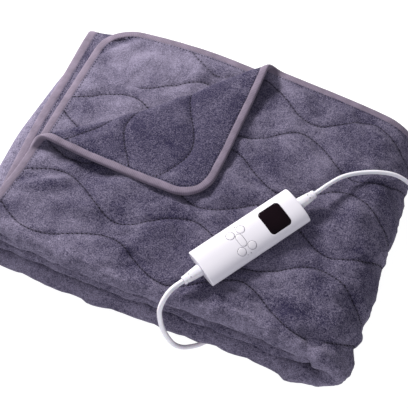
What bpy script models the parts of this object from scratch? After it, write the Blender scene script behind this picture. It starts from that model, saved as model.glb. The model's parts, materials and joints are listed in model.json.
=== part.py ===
"""Folded electric heated blanket: one quilted cloth with a turned-back corner, its edge
binding, the hand controller lying on it, the two leads, a coil of spare lead and the plug.

Metres, +Z up. X runs along the front fold to the right, Y goes from the front fold to the
back, and the origin is the middle of the face that lies on the table.
"""
import math

import bmesh
import bpy
import numpy as np
from mathutils import Matrix, Vector

MM = 0.001
FIT_GAP = 0.0003            # between pieces that touch

# ---- the folded cloth -------------------------------------------------------------------
CLOTH = 5.3 * MM            # quilted double plush, uncompressed
CLOTH_PITCH = 6.25 * MM     # from one cloth to the next inside the pile
PASS_PITCH = 4 * CLOTH_PITCH
HEIGHT = 4 * PASS_PITCH
UNDER_GAP = (CLOTH_PITCH - CLOTH) / 2   # taken off below the pile, so that it lies at z = 0
LEFT_END = -191 * MM        # free left end of the cloth, without its binding
RIGHT_TURN = 180 * MM       # where the wide right-hand fold starts
INNER_RIGHT_TURN = 165 * MM
LEFT_TURN = -220 * MM
BACK_END = 158 * MM         # free back edge of the cloth, without its binding
FRONT_TURN = -158 * MM
INNER_FRONT_TURN = -150 * MM
SECOND_BACK_END = 151 * MM
CORNER_ROUND = 32 * MM

# Lengthwise folding, seen from the front: (length of the stretch, turn in radians).
TOP_RUN = RIGHT_TURN - LEFT_END
WIDE_TURN = math.pi * 1.5 * PASS_PITCH
SMALL_TURN = math.pi * 0.5 * PASS_PITCH
LENGTHWISE = (
    (TOP_RUN, 0.0),
    (WIDE_TURN, -math.pi),
    (RIGHT_TURN - LEFT_TURN, 0.0),
    (SMALL_TURN, -math.pi),
    (INNER_RIGHT_TURN - LEFT_TURN, 0.0),
    (SMALL_TURN, math.pi),
    (INNER_RIGHT_TURN - LEFT_END, 0.0),
)
# Crosswise folding inside each pass, seen from the end: cloths a, d, c, b in turn.
CROSSWISE = (
    (BACK_END - FRONT_TURN, 0.0),
    (math.pi * 1.5 * CLOTH_PITCH, math.pi),
    (BACK_END - FRONT_TURN, 0.0),
    (math.pi * 0.5 * CLOTH_PITCH, math.pi),
    (BACK_END - INNER_FRONT_TURN, 0.0),
    (math.pi * 0.5 * CLOTH_PITCH, -math.pi),
    (SECOND_BACK_END - INNER_FRONT_TURN, 0.0),
)
CLOTH_LENGTH = sum(length for length, turn in LENGTHWISE)
CLOTH_WIDTH = sum(length for length, turn in CROSSWISE)

# Quilting: wavy seams along the length, each the mirror of the next.
SEAM_BACK = 128 * MM        # the seam nearest the back edge of the top cloth
SEAM_SPACING = 53 * MM
SEAM_COUNT = 6
SEAM_WAVE = 158 * MM        # length of one wave
SEAM_SWING = 17 * MM        # to each side of its mid line
SEAM_CREST = 8 * MM         # x of a crest of the first seam
SEAM_DEPTH = 1.6 * MM
# The same seams on the second cloth, which shows beside the turned corner: middle, side.
SECOND_SEAMS = ((99 * MM, -1), (50 * MM, 1), (5 * MM, -1))
SECOND_CREST = -132 * MM

# Turned-back corner of the top cloth.
CORNER_FOLD = 135 * MM      # the cloth begins to roll over along y = x + CORNER_FOLD
BEND_MIDDLE = 4.6 * MM      # bend radius of the fold, and at its two soft ends
BEND_ENDS = 10.5 * MM
FLAP_REST = CLOTH + 1.3 * MM
FLAP_SETTLE = 50 * MM       # how far from the fold the flap comes to rest
ROLL_EASE = 0.7 * MM        # how far the cloth's edge is drawn in on the roll
FLAP_REACH = BACK_END - LEFT_END - CORNER_FOLD   # from the fold to the corner, along each edge
FLAP_DEPTH = FLAP_REACH / math.sqrt(2)           # and square to the fold
FOLD_MIDDLE = (LEFT_END + BACK_END) / math.sqrt(2)
BEND_STEPS = 7
FLAT_FROM = 4 * BEND_ENDS   # past the fold, where the flap's evenly spaced rows begin
FLAP_ROOT = 13 * MM         # the flap's solid reaches so far into the cloth before the fold
ROOT_HALF_THICKNESS = 0.8 * MM
ROOT_INSET = 2 * MM         # and stays so far inside the cloth's edges there
ROOT_FLARE = (-0.5 * MM, 0.6 * MM)      # it widens to the cloth's thickness between these

# Edge binding: how far out and how far up each point of its section is.
BINDING_SECTION = ((0.5 * MM, 2.3 * MM), (5.2 * MM, 2.6 * MM), (9.0 * MM, 1.1 * MM),
                   (9.0 * MM, -1.1 * MM), (5.2 * MM, -2.6 * MM), (0.5 * MM, -2.3 * MM))

# ---- how the pile sits: tables in millimetres, a row for each place ------------------------
KNOT_X = np.array([-250, -201, -137.5, -74, -10.5, 53, 116.5, 180, 235]) * MM
KNOT_Y = np.array([-176, -158, -80, 0, 80, 158, 172]) * MM
KNOT_Z = np.array([0, 12.5, 25, 37.5, 50, 62.5, 75, 86.65, 87.4, 100]) * MM
CLOTH_C_TOP = 87 * MM       # between the second and third cloths from the top
# Height of the pile as a share of the full height: x, then at y = -158, -80, 0, 80, 158.
PILE_HEIGHT = (
    (-250, 0.91, 0.96, 0.97, 0.97, 0.96),
    (-201, 0.91, 0.97, 0.98, 0.98, 0.97),
    (-74, 0.89, 0.97, 1.00, 1.01, 0.99),
    (53, 0.87, 0.95, 1.00, 1.02, 1.00),
    (180, 0.86, 0.92, 0.97, 1.00, 0.98),
    (235, 0.86, 0.91, 0.95, 0.97, 0.95),
)
# How far each pass stays back at the front: x, top pass, second, third, bottom pass.
FRONT_SETBACK = (
    (-250, 11, 12, 12, 1),
    (-201, 11, 12, 12, 1),
    (-137.5, 6, 13, 11, -1),
    (-74, -1, 14, 12, -2),
    (-10.5, 4, 15, 12, 2),
    (53, 7, 17, 14, 4),
    (116.5, 10, 18, 15, 5),
    (180, 7, 16, 14, 3),
    (235, 1, 3, 4, 4),
)
# Where the passes part at the front, as shares of the height: x, bottom|third, |second, |top.
FRONT_PARTINGS = (
    (-250, 0.34, 0.50, 0.70),
    (-74, 0.36, 0.51, 0.71),
    (53, 0.36, 0.50, 0.66),
    (180, 0.37, 0.50, 0.63),
    (235, 0.30, 0.50, 0.70),
)
# How far the back edges stay back: x, shift towards the front.
BACK_SETBACK = ((-250, 0), (-201, -1), (-74, -6), (-10.5, -7), (53, -7), (116.5, -3), (180, 3), (235, 12))
# How far the left ends reach out: y, the two upper cloths, those under them.
LEFT_CREEP = ((-158, 20, 20), (-80, 11, 24), (158, 13.4, 37))
# What share of that the lower passes take: height, share.
CREEP_SHARE = ((0, 0), (37.5, 0), (50, 0.3), (62.5, 0.55), (75, 1))
# How far the right-hand fold draws in: y, shift to the left.
RIGHT_DRAW = ((-176, -1), (-158, -1), (-80, 0), (0, 4), (80, 8), (172, 12))
# Soft creases in the top cloth: x and y of both ends, height (below 0 a trough), half width.
CREASES = (
    (-210, -80, -165, -44, 2.0, 9),
    (-212, -100, -170, -60, -2.0, 10),
    (-205, -118, -138, -76, 2.2, 9),
    (-160, -134, -80, -110, -2.0, 14),
    (-132, -62, -104, -48, -1.8, 10),
    (150, -150, 205, -120, 1.8, 14),
)

# ---- controller ---------------------------------------------------------------------------
CASE_LENGTH = 135 * MM
CASE_WIDTH = 47 * MM
CASE_RISE = 8 * MM          # crown of the cover above the parting line
CASE_DROP = 8.5 * MM        # base below it
CASE_WALL = 2 * MM
CASE_END_EASE = 1.2 * MM    # its end faces are eased, and so a little smaller
CASE_END_HEIGHT = 0.9
CASE_END_WIDTH = 0.965
HOLLOW_SHIFT = 0.8 * MM     # the hollow of each half is shifted past the parting line
CASE_PLACE = (78.5 * MM, -65 * MM)
CASE_HEADING = math.radians(58.8)
CASE_PITCH = math.radians(4.5)     # the display end lies higher
CASE_ROLL = math.radians(9.0)      # and the side towards the front lies lower
SEAT_CLEARANCE = 0.4 * MM

WINDOW_FROM = 19.5 * MM     # along the case from its middle
WINDOW_TO = 47.5 * MM
WINDOW_WIDTH = 30.5 * MM
WINDOW_ROUND = 4.5 * MM
WINDOW_FLOOR = 4.6 * MM     # height of the pocket's floor over the parting line

KEY_TRAVEL = 0.6 * MM
KEY_FOOT = 1.5 * MM         # lower end of a key over the parting line
KEY_CLEARANCE = 0.25 * MM
KEYS_ALONG = -12.8 * MM     # middle of the key group, along the case from its middle
# name, along and across from the group's middle, length across, length along
KEYS = (
    ("key_power", 0.0, 0.0, 16 * MM, 8 * MM),
    ("key_heat_up", 7.0 * MM, 11.2 * MM, 9.6 * MM, 9.6 * MM),
    ("key_heat_down", -7.0 * MM, 11.2 * MM, 9.6 * MM, 9.6 * MM),
    ("key_time_up", 7.0 * MM, -11.2 * MM, 9.6 * MM, 9.6 * MM),
    ("key_time_down", -7.0 * MM, -11.2 * MM, 9.6 * MM, 9.6 * MM),
)

# Strain reliefs, turned: (distance from the case, radius) in millimetres.
RELIEF_PROFILE = ((0.0, 6.6), (1.0, 6.9), (9.0, 6.3), (16.0, 5.5), (21.0, 4.9), (22.6, 4.6), (23.0, 4.0))
RELIEF_LENGTH = 23 * MM

# ---- leads --------------------------------------------------------------------------------
BLANKET_LEAD = 5.8 * MM     # diameters
MAINS_LEAD = 5.0 * MM
POINT_SPACING = 2.4         # of a lead's points, in diameters
STRAIGHT_OUT = 1.5          # diameters that a lead runs straight out of its relief
ENTRY_CLEARANCE = 0.6 * MM  # round the blanket lead where it goes into the cloth
ENTRY_BEYOND = 1.0 * MM
ENTRY_LENGTH = 40 * MM
# Routes chosen by hand, in millimetres, from the strain relief on.
BLANKET_ROUTE = ((23.5, -159, 97), (20.5, -169, 92), (19, -177, 82), (20.5, -181, 66), (24, -183, 48),
                 (30, -183, 29), (37, -181, 13), (45, -177, 5.2), (53, -171.5, 3.3), (60, -166, 3.2),
                 (66, -159, 3.2))
MAINS_ROUTE = ((136, 32.5, 110.5), (147, 50, 108.5), (164, 65, 106), (184, 76, 104), (203, 82, 100),
               (221, 82, 91), (236, 77, 73), (243, 72, 50), (246, 69, 28), (250, 67, 10),
               (257, 66.5, 3.2), (268, 71.2, 2.8), (280.3, 77.2, 2.8), (292.7, 81.4, 2.8))
COIL_MIDDLE = (306 * MM, 118 * MM)
COIL_INNER = 20 * MM
COIL_OUTER = 37 * MM
COIL_HEIGHT = 17.5 * MM
PLUG_HEADING = math.radians(90)
PLUG_ON_COIL = (21.5 * MM, -20 * MM)    # its middle, ahead and left of the coil's middle
PLUG_THICKNESS = 13.5 * MM
# Sections of the flat two-pin plug: along it, width, thickness, in millimetres.
PLUG_SECTIONS = ((-24, 7, 7), (-16, 11, 9), (-6, 24, 12.5), (4, 33, 13.5), (12, 35, 13.5), (14, 33, 12))
PIN_LENGTH = 19 * MM
PIN_RADIUS = 2.0 * MM
PIN_SPACING = 18.6 * MM


# ---- small helpers ------------------------------------------------------------------------
def material(name, colour, roughness, metallic=0.0):
    """A Principled material from a linear colour."""
    made = bpy.data.materials.new(name)
    made.use_nodes = True
    shader = made.node_tree.nodes["Principled BSDF"]
    shader.inputs["Base Color"].default_value = (*colour, 1.0)
    shader.inputs["Roughness"].default_value = roughness
    shader.inputs["Metallic"].default_value = metallic
    made.diffuse_color = (*colour, 1.0)
    return made


def new_object(name, mesh, look, group):
    thing = bpy.data.objects.new(name, mesh)
    if look:
        mesh.materials.clear()
        mesh.materials.append(look)
    group.objects.link(thing)
    return thing


def mesh_from(name, points, faces):
    mesh = bpy.data.meshes.new(name)
    mesh.from_pydata(np.asarray(points).tolist(), [], faces)
    mesh.validate()
    return mesh


def face_outwards(mesh):
    """Triangulates, and turns all the faces of a closed mesh outwards."""
    work = bmesh.new()
    work.from_mesh(mesh)
    bmesh.ops.triangulate(work, faces=work.faces[:])
    bmesh.ops.recalc_face_normals(work, faces=work.faces[:])
    work.to_mesh(mesh)
    work.free()
    return mesh


def loft(name, rings, closed=False):
    """Joins rings of the same number of points, with a cap on each end unless it closes."""
    rings = np.asarray(rings)
    count, around = rings.shape[:2]
    faces = []
    for ring in range(count if closed else count - 1):
        after = (ring + 1) % count
        for point in range(around):
            beside = (point + 1) % around
            faces.append((ring * around + point, ring * around + beside,
                          after * around + beside, after * around + point))
    if not closed:
        faces.append(tuple(range(around)))
        faces.append(tuple((count - 1) * around + point for point in reversed(range(around))))
    return face_outwards(mesh_from(name, rings.reshape(-1, 3), faces))


def cut(thing, tool, operation="DIFFERENCE"):
    """Puts a Boolean modifier on a thing and turns the result into its mesh."""
    step = thing.modifiers.new("cut", "BOOLEAN")
    step.operation = operation
    step.solver = "EXACT"
    step.object = tool
    bpy.context.view_layer.update()
    evaluated = thing.evaluated_get(bpy.context.evaluated_depsgraph_get())
    mesh = bpy.data.meshes.new_from_object(evaluated)
    thing.modifiers.remove(step)
    thing.data = mesh
    return thing


def as_cutter(mesh, group):
    """A tool for Boolean cuts, kept out of the model."""
    tool = new_object(mesh.name, mesh, None, group)
    tool.hide_render = True
    tool.display_type = "WIRE"
    return tool


# ---- the folding --------------------------------------------------------------------------
def follow(stretches, start, heading, travelled):
    """Place and heading after so much travel along straight stretches and round turns."""
    travelled = np.asarray(travelled, float)
    place = np.zeros(travelled.shape + (2,))
    angle = np.zeros(travelled.shape)
    origin = np.array(start, float)
    begun = 0.0
    for index, (length, turn) in enumerate(stretches):
        first, last = index == 0, index == len(stretches) - 1
        here = (travelled >= begun) | first
        along = travelled - begun
        if turn:
            bend = turn / length
            step = np.stack([np.sin(heading + bend * along) - math.sin(heading),
                             math.cos(heading) - np.cos(heading + bend * along)], -1) / bend
            turned = heading + bend * along
            end_step = np.array([math.sin(heading + turn) - math.sin(heading),
                                 math.cos(heading) - math.cos(heading + turn)]) / bend
        else:
            step = along[..., None] * np.array([math.cos(heading), math.sin(heading)])
            turned = np.full(travelled.shape, heading)
            end_step = length * np.array([math.cos(heading), math.sin(heading)])
        place[here] = (origin + step)[here]
        angle[here] = turned[here]
        if last:
            break
        origin = origin + end_step
        heading += turn
        begun += length
    return place, angle


def bend_radius(away):
    """Radius of the corner's roll at a distance along the fold from its middle."""
    share = np.clip(np.abs(away) / FLAP_DEPTH, 0, 1)
    return BEND_MIDDLE + (BEND_ENDS - BEND_MIDDLE) * share ** 3


def top_cloth(x, y, above):
    """The top cloth with its corner rolled over. above: height over its middle.

    The roll starts later where it is tighter, so that the crest of the fold is straight.
    """
    past = (y - x - CORNER_FOLD) / math.sqrt(2)
    along = (x + y) / math.sqrt(2)
    radius = bend_radius(along - FOLD_MIDDLE)
    start = BEND_ENDS - radius
    turn = np.clip((past - start) / radius, 0, math.pi)
    run = np.maximum(past - start - math.pi * radius, 0)
    across = np.where(past < start, past, start + (radius - above) * np.sin(turn) - run)
    settled = (2 * radius - FLAP_REST) * (1 - np.exp(-(run / FLAP_SETTLE) ** 2))
    height = np.where(past < start, above, radius - (radius - above) * np.cos(turn) - settled)
    middle = HEIGHT - CLOTH_PITCH / 2 - UNDER_GAP
    root = math.sqrt(2)
    return np.stack([(along - across - CORNER_FOLD / root) / root,
                     (along + across + CORNER_FOLD / root) / root, middle + height], -1)


def cloth_point(length, width, above, corner_turned=True):
    """A point of the folded cloth, before it settles.

    length and width are where the point is on the flat cloth, and above is its height over
    the middle of the cloth, on the side that shows on top.
    """
    length, width, above = np.broadcast_arrays(*(np.asarray(v, float) for v in (length, width, above)))
    section, lean = follow(CROSSWISE, (BACK_END, 1.5 * CLOTH_PITCH), math.pi, width)
    y = section[..., 0] + above * np.sin(lean)
    up = section[..., 1] - above * np.cos(lean)
    track, heading = follow(LENGTHWISE, (LEFT_END, 3.5 * PASS_PITCH - UNDER_GAP), 0.0, length)
    x = track[..., 0] - up * np.sin(heading)
    z = track[..., 1] + up * np.cos(heading)
    place = np.stack([x, y, z], -1)
    if corner_turned:
        on_top = (width < CROSSWISE[0][0]) & (length < LENGTHWISE[0][0])
        turned = top_cloth(track[..., 0], section[..., 0], above)
        place = np.where(on_top[..., None], turned, place)
    return place


def seam_offset(number, along):
    """How far seam number swings from its mid line at a length along the cloth."""
    side = 1.0 if number % 2 == 0 else -1.0
    return side * SEAM_SWING * np.cos(2 * math.pi * (along + LEFT_END - SEAM_CREST) / SEAM_WAVE)


def seam_rows(along):
    """Widths on the flat cloth of the rows of points of the top cloth at one station, and
    how deep each row lies: seams and pads in turn, between the back edge and the fold."""
    quilted = along < LENGTHWISE[0][0] + WIDE_TURN - 1 * MM
    seams = [SEAM_BACK - SEAM_SPACING * number + (seam_offset(number, along) if quilted else 0)
             for number in range(SEAM_COUNT)]
    rows, depths = [BACK_END], [0.0]
    for number, seam in enumerate(seams):
        rows += [(rows[-1] + seam) / 2 if number == 0 else (seams[number - 1] + seam) / 2, seam]
        depths += [0.0, SEAM_DEPTH if quilted else 0.0]
    rows.append(FRONT_TURN)
    depths.append(0.0)
    return [BACK_END - y for y in rows], depths


def second_rows(along, far_end):
    """Widths of the rows of the second cloth's upper side at one station, from its free edge
    to its fold, and how deep each lies: quilted where the turned corner leaves it bare."""
    quilted = along < TOP_RUN / 2
    swing = SEAM_SWING * math.cos(2 * math.pi * (along + LEFT_END - SECOND_CREST) / SEAM_WAVE)
    seams = [middle + (side * swing if quilted else 0) for middle, side in SECOND_SEAMS]
    places = [(SECOND_BACK_END + seams[0]) / 2, seams[0]]
    for before, seam in zip(seams, seams[1:]):
        places += [(before + seam) / 2, seam]
    places.append(KNOT_Y[2])
    rows, depths = [far_end], [0.0]
    for place in places:
        row = WIDTH_ENDS[6] + place - INNER_FRONT_TURN
        inside = row < far_end - SEAM_DEPTH
        rows.append(min(row, far_end))
        depths.append(SEAM_DEPTH if quilted and inside and place in seams else 0.0)
    return rows, depths


def spread(start, end, count):
    """count points inside a stretch, not its ends."""
    return list(np.linspace(start, end, count + 2)[1:-1])


def stretch_ends(stretches):
    ends = [0.0]
    for length, turn in stretches:
        ends.append(ends[-1] + length)
    return ends


WIDTH_ENDS = stretch_ends(CROSSWISE)
LENGTH_ENDS = stretch_ends(LENGTHWISE)
RUN_Y = [float(y) for y in KNOT_Y[2:5]]


def run_widths(index):
    """Widths of the knots' rows inside a straight run of the crosswise folding."""
    starts = (BACK_END, FRONT_TURN, BACK_END, INNER_FRONT_TURN)
    rows = [abs(y - starts[index // 2]) for y in RUN_Y]
    return sorted(WIDTH_ENDS[index] + row for row in rows)


def outline_widths(along, near_trim, far_trim):
    """Rows of points round one section of the cloth: its outer side, then its inner side."""
    top_rows, top_depths = seam_rows(along)
    far_end = WIDTH_ENDS[7] - far_trim
    under_rows, under_depths = second_rows(along, far_end)
    outer = [max(row, near_trim) for row in top_rows]
    outer += spread(WIDTH_ENDS[1], WIDTH_ENDS[2], 4) + [WIDTH_ENDS[2]]
    outer += run_widths(2) + [WIDTH_ENDS[3]]
    outer += spread(WIDTH_ENDS[3], WIDTH_ENDS[4], 3) + [WIDTH_ENDS[4]]
    outer += run_widths(4) + [WIDTH_ENDS[5]]
    outer += spread(WIDTH_ENDS[5], WIDTH_ENDS[6], 2) + [WIDTH_ENDS[6]]
    outer += run_widths(6) + [far_end]
    inner = under_rows + [WIDTH_ENDS[6]]
    inner += spread(WIDTH_ENDS[5], WIDTH_ENDS[6], 4)[::-1] + [WIDTH_ENDS[5]]
    inner += run_widths(4)[::-1] + [WIDTH_ENDS[4]]
    inner += spread(WIDTH_ENDS[3], WIDTH_ENDS[4], 2)[::-1] + [WIDTH_ENDS[3]]
    inner += run_widths(2)[::-1] + [WIDTH_ENDS[2]]
    inner += spread(WIDTH_ENDS[1], WIDTH_ENDS[2], 4)[::-1] + [WIDTH_ENDS[1]]
    inner += run_widths(0)[::-1] + [near_trim]
    heights = np.array([CLOTH / 2] * len(outer) + [-CLOTH / 2] * len(inner))
    heights[:len(top_depths)] -= top_depths
    heights[len(outer):len(outer) + len(under_depths)] += under_depths
    return outer + inner, heights


def knot_lengths(index, start, heading):
    """Lengths along the cloth at which a straight pass crosses the knots, ends left out."""
    begin, end = LENGTH_ENDS[index], LENGTH_ENDS[index + 1]
    crossings = [begin + heading * (x - start) for x in KNOT_X]
    return sorted(c for c in crossings if begin + 1 * MM < c < end - 1 * MM)


def quarter_turns(count):
    """Turns at the points of a rounded corner of the cloth."""
    return [math.pi / 2 * step / count for step in range(count + 1)]


CORNER_LENGTHS = [CORNER_ROUND * (1 - math.cos(turn)) for turn in quarter_turns(3)]


def coarse_lengths():
    """Stations shared by all the cloths and the binding: one on each knot, more on turns."""
    stations = list(CORNER_LENGTHS) + knot_lengths(0, LEFT_END, 1) + [LENGTH_ENDS[1]]
    stations += spread(LENGTH_ENDS[1], LENGTH_ENDS[2], 9) + [LENGTH_ENDS[2]]
    stations += knot_lengths(2, RIGHT_TURN, -1) + [LENGTH_ENDS[3]]
    stations += spread(LENGTH_ENDS[3], LENGTH_ENDS[4], 6) + [LENGTH_ENDS[4]]
    stations += knot_lengths(4, LEFT_TURN, 1) + [LENGTH_ENDS[5]]
    stations += spread(LENGTH_ENDS[5], LENGTH_ENDS[6], 6) + [LENGTH_ENDS[6]]
    stations += knot_lengths(6, INNER_RIGHT_TURN, -1)
    stations += [CLOTH_LENGTH - length for length in CORNER_LENGTHS[::-1]]
    return stations


def cloth_lengths():
    """All the stations of the cloth: the coarse ones, and finer ones along the top pass."""
    fine_step = (KNOT_X[2] - KNOT_X[1]) / 4
    fine = [fine_step * step for step in range(2, 24) if step % 4]
    return sorted(coarse_lengths() + fine)


# ---- how the pile settles -----------------------------------------------------------------
def table(rows, column, at):
    """A column of a table read at some places, in metres."""
    rows = np.array(rows, float)
    return np.interp(at, rows[:, 0] * MM, rows[:, column])


def knot_shifts():
    """How far each knot of the pile's three-way grid moves."""
    x, y, z = np.meshgrid(KNOT_X, KNOT_Y, KNOT_Z, indexing="ij")
    heights = np.array(PILE_HEIGHT, float)
    columns = np.array([np.interp(KNOT_X, heights[:, 0] * MM, heights[:, c]) for c in range(1, 6)])
    share = np.array([np.interp(KNOT_Y, KNOT_Y[1:6], column) for column in columns.T])[:, :, None]

    near_front = np.interp(y, KNOT_Y[1:4], [1.0, 0.30, 0.0])
    near_back = np.interp(y, KNOT_Y[3:6], [0.0, 0.30, 1.0])
    level = z / HEIGHT
    bounds = np.array([table(FRONT_PARTINGS, c, KNOT_X) for c in (1, 2, 3)])
    settled = np.zeros(z.shape)
    setback = np.zeros(z.shape)
    middles = HEIGHT * (np.arange(4) + 0.5) / 4
    for column, place in enumerate(KNOT_X):
        marks = [0.0, *bounds[:, column], 1.0]
        settled[column] = np.interp(level[column], [0.0, 0.25, 0.5, 0.75, 1.0], marks)
        shifts = [table(FRONT_SETBACK, 4 - c, place) for c in range(4)]
        setback[column] = np.interp(z[column], middles, shifts) * MM
    at_front = level + (settled - level) * near_front
    near_left = np.interp(x, KNOT_X[1:4], [1.0, 0.45, 0.0])
    near_right = np.interp(x, KNOT_X[5:8], [0.0, 0.3, 1.0])
    heights, shares = np.array(CREEP_SHARE, float).T
    creep = np.where(z > CLOTH_C_TOP, table(LEFT_CREEP, 1, y),
                     table(LEFT_CREEP, 2, y) * np.interp(z, heights * MM, shares)) * MM
    move_x = -near_left * creep
    move_x -= near_right * table(RIGHT_DRAW, 1, y) * MM
    move_y = near_front * setback - near_back * table(BACK_SETBACK, 1, x) * MM
    move_z = at_front * HEIGHT * share - z
    return np.stack([move_x, move_y, move_z], -1)


def settle(points):
    """Moves points with the knots around them, straight from knot to knot."""
    shifts = knot_shifts()
    cells, shares = [], []
    for axis, knots in enumerate((KNOT_X, KNOT_Y, KNOT_Z)):
        held = np.clip(points[:, axis], knots[0], knots[-1])
        cell = np.clip(np.searchsorted(knots, held, side="right") - 1, 0, len(knots) - 2)
        cells.append(cell)
        shares.append(((held - knots[cell]) / (knots[cell + 1] - knots[cell]))[:, None])
    moved = np.zeros(points.shape)
    for corner in range(8):
        ends = [(corner >> axis) & 1 for axis in range(3)]
        weight = np.ones((len(points), 1))
        for axis in range(3):
            weight = weight * (shares[axis] if ends[axis] else 1 - shares[axis])
        moved += weight * shifts[cells[0] + ends[0], cells[1] + ends[1], cells[2] + ends[2]]
    return points + moved


def creases(points):
    """Height of the soft creases over points of the top face."""
    rise = np.zeros(len(points))
    for x0, y0, x1, y1, height, half in CREASES:
        start = np.array([x0, y0]) * MM
        span = np.array([x1 - x0, y1 - y0]) * MM
        along = np.clip((points[:, :2] - start) @ span / (span @ span), 0, 1)
        away = np.linalg.norm(points[:, :2] - start - along[:, None] * span, axis=1)
        rise += height * MM * np.exp(-(away / (half * MM)) ** 2)
    return rise


def settle_mesh(mesh, creased=False):
    points = np.zeros(len(mesh.vertices) * 3)
    mesh.vertices.foreach_get("co", points)
    points = points.reshape(-1, 3)
    if creased:
        on_top = (points[:, 2] > HEIGHT - CLOTH_PITCH / 2) & (points[:, 2] < HEIGHT)
        points[:, 2] += np.where(on_top, creases(points), 0)
    points = settle(points)
    mesh.vertices.foreach_set("co", points.ravel())
    mesh.update()


def top_height(x, y):
    """Height of the settled top face of the pile."""
    where = np.stack([np.ravel(x), np.ravel(y), np.full(np.size(x), HEIGHT - 2 * UNDER_GAP)], -1)
    return settle(where)[:, 2].reshape(np.shape(x))


# ---- the pieces ---------------------------------------------------------------------------
def folded_cloth():
    """The pile without its turned-back corner: one section carried along the folding."""
    rings = []
    for along in cloth_lengths():
        near_trim = far_trim = 0.0
        from_start, from_end = CORNER_ROUND - along, CORNER_ROUND - (CLOTH_LENGTH - along)
        if from_start > 0:
            far_trim = CORNER_ROUND - math.sqrt(CORNER_ROUND ** 2 - from_start ** 2)
        if from_end > 0:
            from_end = min(from_end, CORNER_ROUND)
            near_trim = far_trim = CORNER_ROUND - math.sqrt(CORNER_ROUND ** 2 - from_end ** 2)
        widths, heights = outline_widths(along, near_trim, far_trim)
        rings.append(cloth_point(along, np.array(widths), heights, corner_turned=False))
    return loft("blanket", rings)


def corner_cutter(group):
    """A block over the corner of the top cloth, down to the gap under it."""
    reach, thickness = 260 * MM, 20 * MM
    gap_under = HEIGHT - CLOTH_PITCH - UNDER_GAP
    block = bmesh.new()
    bmesh.ops.create_cube(block, size=1.0)
    place = (Matrix.Translation((-CORNER_FOLD / 2, CORNER_FOLD / 2, gap_under))
             @ Matrix.Rotation(math.radians(45), 4, "Z")
             @ Matrix.Translation((FOLD_MIDDLE, reach / 2, thickness / 2))
             @ Matrix.Diagonal((2 * reach, reach, thickness, 1)))
    bmesh.ops.transform(block, matrix=place, verts=block.verts)
    mesh = bpy.data.meshes.new("corner_cutter")
    block.to_mesh(mesh)
    block.free()
    return as_cutter(mesh, group)


def roll_half_width(turn):
    """Half width of the turned corner where it has rolled over by a turn."""
    half_width = FLAP_DEPTH
    for _ in range(12):
        half_width = FLAP_DEPTH - BEND_ENDS - (turn - 1) * float(bend_radius(half_width))
    return half_width


def roll_turns():
    return [math.pi * step / BEND_STEPS for step in range(1, BEND_STEPS + 1)]


def flap_runs():
    """Distances past the fold of the rows of the turned corner that lie flat."""
    return list(np.linspace(FLAT_FROM, (FLAP_REACH - CORNER_ROUND) / math.sqrt(2), 8)[:-1])


def flap_rows():
    """Rows of the turned corner, from its root inside the cloth to its rounded tip.

    Each is: turn of the roll or None, distance past the fold, half width, half thickness.
    """
    round_middle = FLAP_DEPTH - CORNER_ROUND * math.sqrt(2)
    thin, full = ROOT_HALF_THICKNESS, CLOTH / 2
    rows = [(None, past, FLAP_DEPTH - past - ROOT_INSET, thin) for past in (-FLAP_ROOT, ROOT_FLARE[0])]
    rows.append((None, ROOT_FLARE[1], FLAP_DEPTH - ROOT_FLARE[1], full))
    rows += [(turn, 0.0, roll_half_width(turn) - ROLL_EASE, full) for turn in roll_turns()]
    rows += [(None, past, FLAP_DEPTH - past, full) for past in flap_runs()]
    for degrees in (45, 30, 15, 4):
        angle = math.radians(degrees)
        past = round_middle + CORNER_ROUND * math.cos(angle)
        rows.append((None, past, CORNER_ROUND * math.sin(angle), full))
    return rows


def flap_mesh():
    """The turned corner as a loft of rows along the fold, its root inside the cloth."""
    root = math.sqrt(2)
    shares = np.linspace(-1, 1, 11)
    rings = []
    for turn, past, half_width, half_thickness in flap_rows():
        away = shares * half_width
        if turn:
            past = BEND_ENDS + (turn - 1) * bend_radius(away)
        x = (FOLD_MIDDLE + away - past - CORNER_FOLD / root) / root
        y = (FOLD_MIDDLE + away + past + CORNER_FOLD / root) / root
        dip = SEAM_DEPTH * 0.8 * seam_nearness(x, y) * (half_thickness == CLOTH / 2)
        under = top_cloth(x, y, dip - half_thickness)
        over = top_cloth(x, y, np.full(shares.shape, half_thickness))
        rings.append(np.concatenate([over, under[::-1]]))
    return loft("corner", rings)


def seam_nearness(x, y):
    """1 on a quilting seam of the flat top cloth, falling to 0 beside it."""
    nearest = np.full(np.shape(x), 1.0)
    for number in range(SEAM_COUNT):
        line = SEAM_BACK - SEAM_SPACING * number + seam_offset(number, x - LEFT_END)
        nearest = np.minimum(nearest, np.abs(y - line))
    return np.exp(-(nearest / (7 * MM)) ** 2)


def lead_path(points, diameter, relief_tip, direction):
    """A smooth path through hand-chosen points, leaving the strain relief straight."""
    first = np.array(relief_tip)
    knots = [first, first + np.array(direction) * STRAIGHT_OUT * diameter]
    knots += [np.array(p) * MM for p in points]
    return smooth_through(np.array(knots), POINT_SPACING * diameter)


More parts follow.
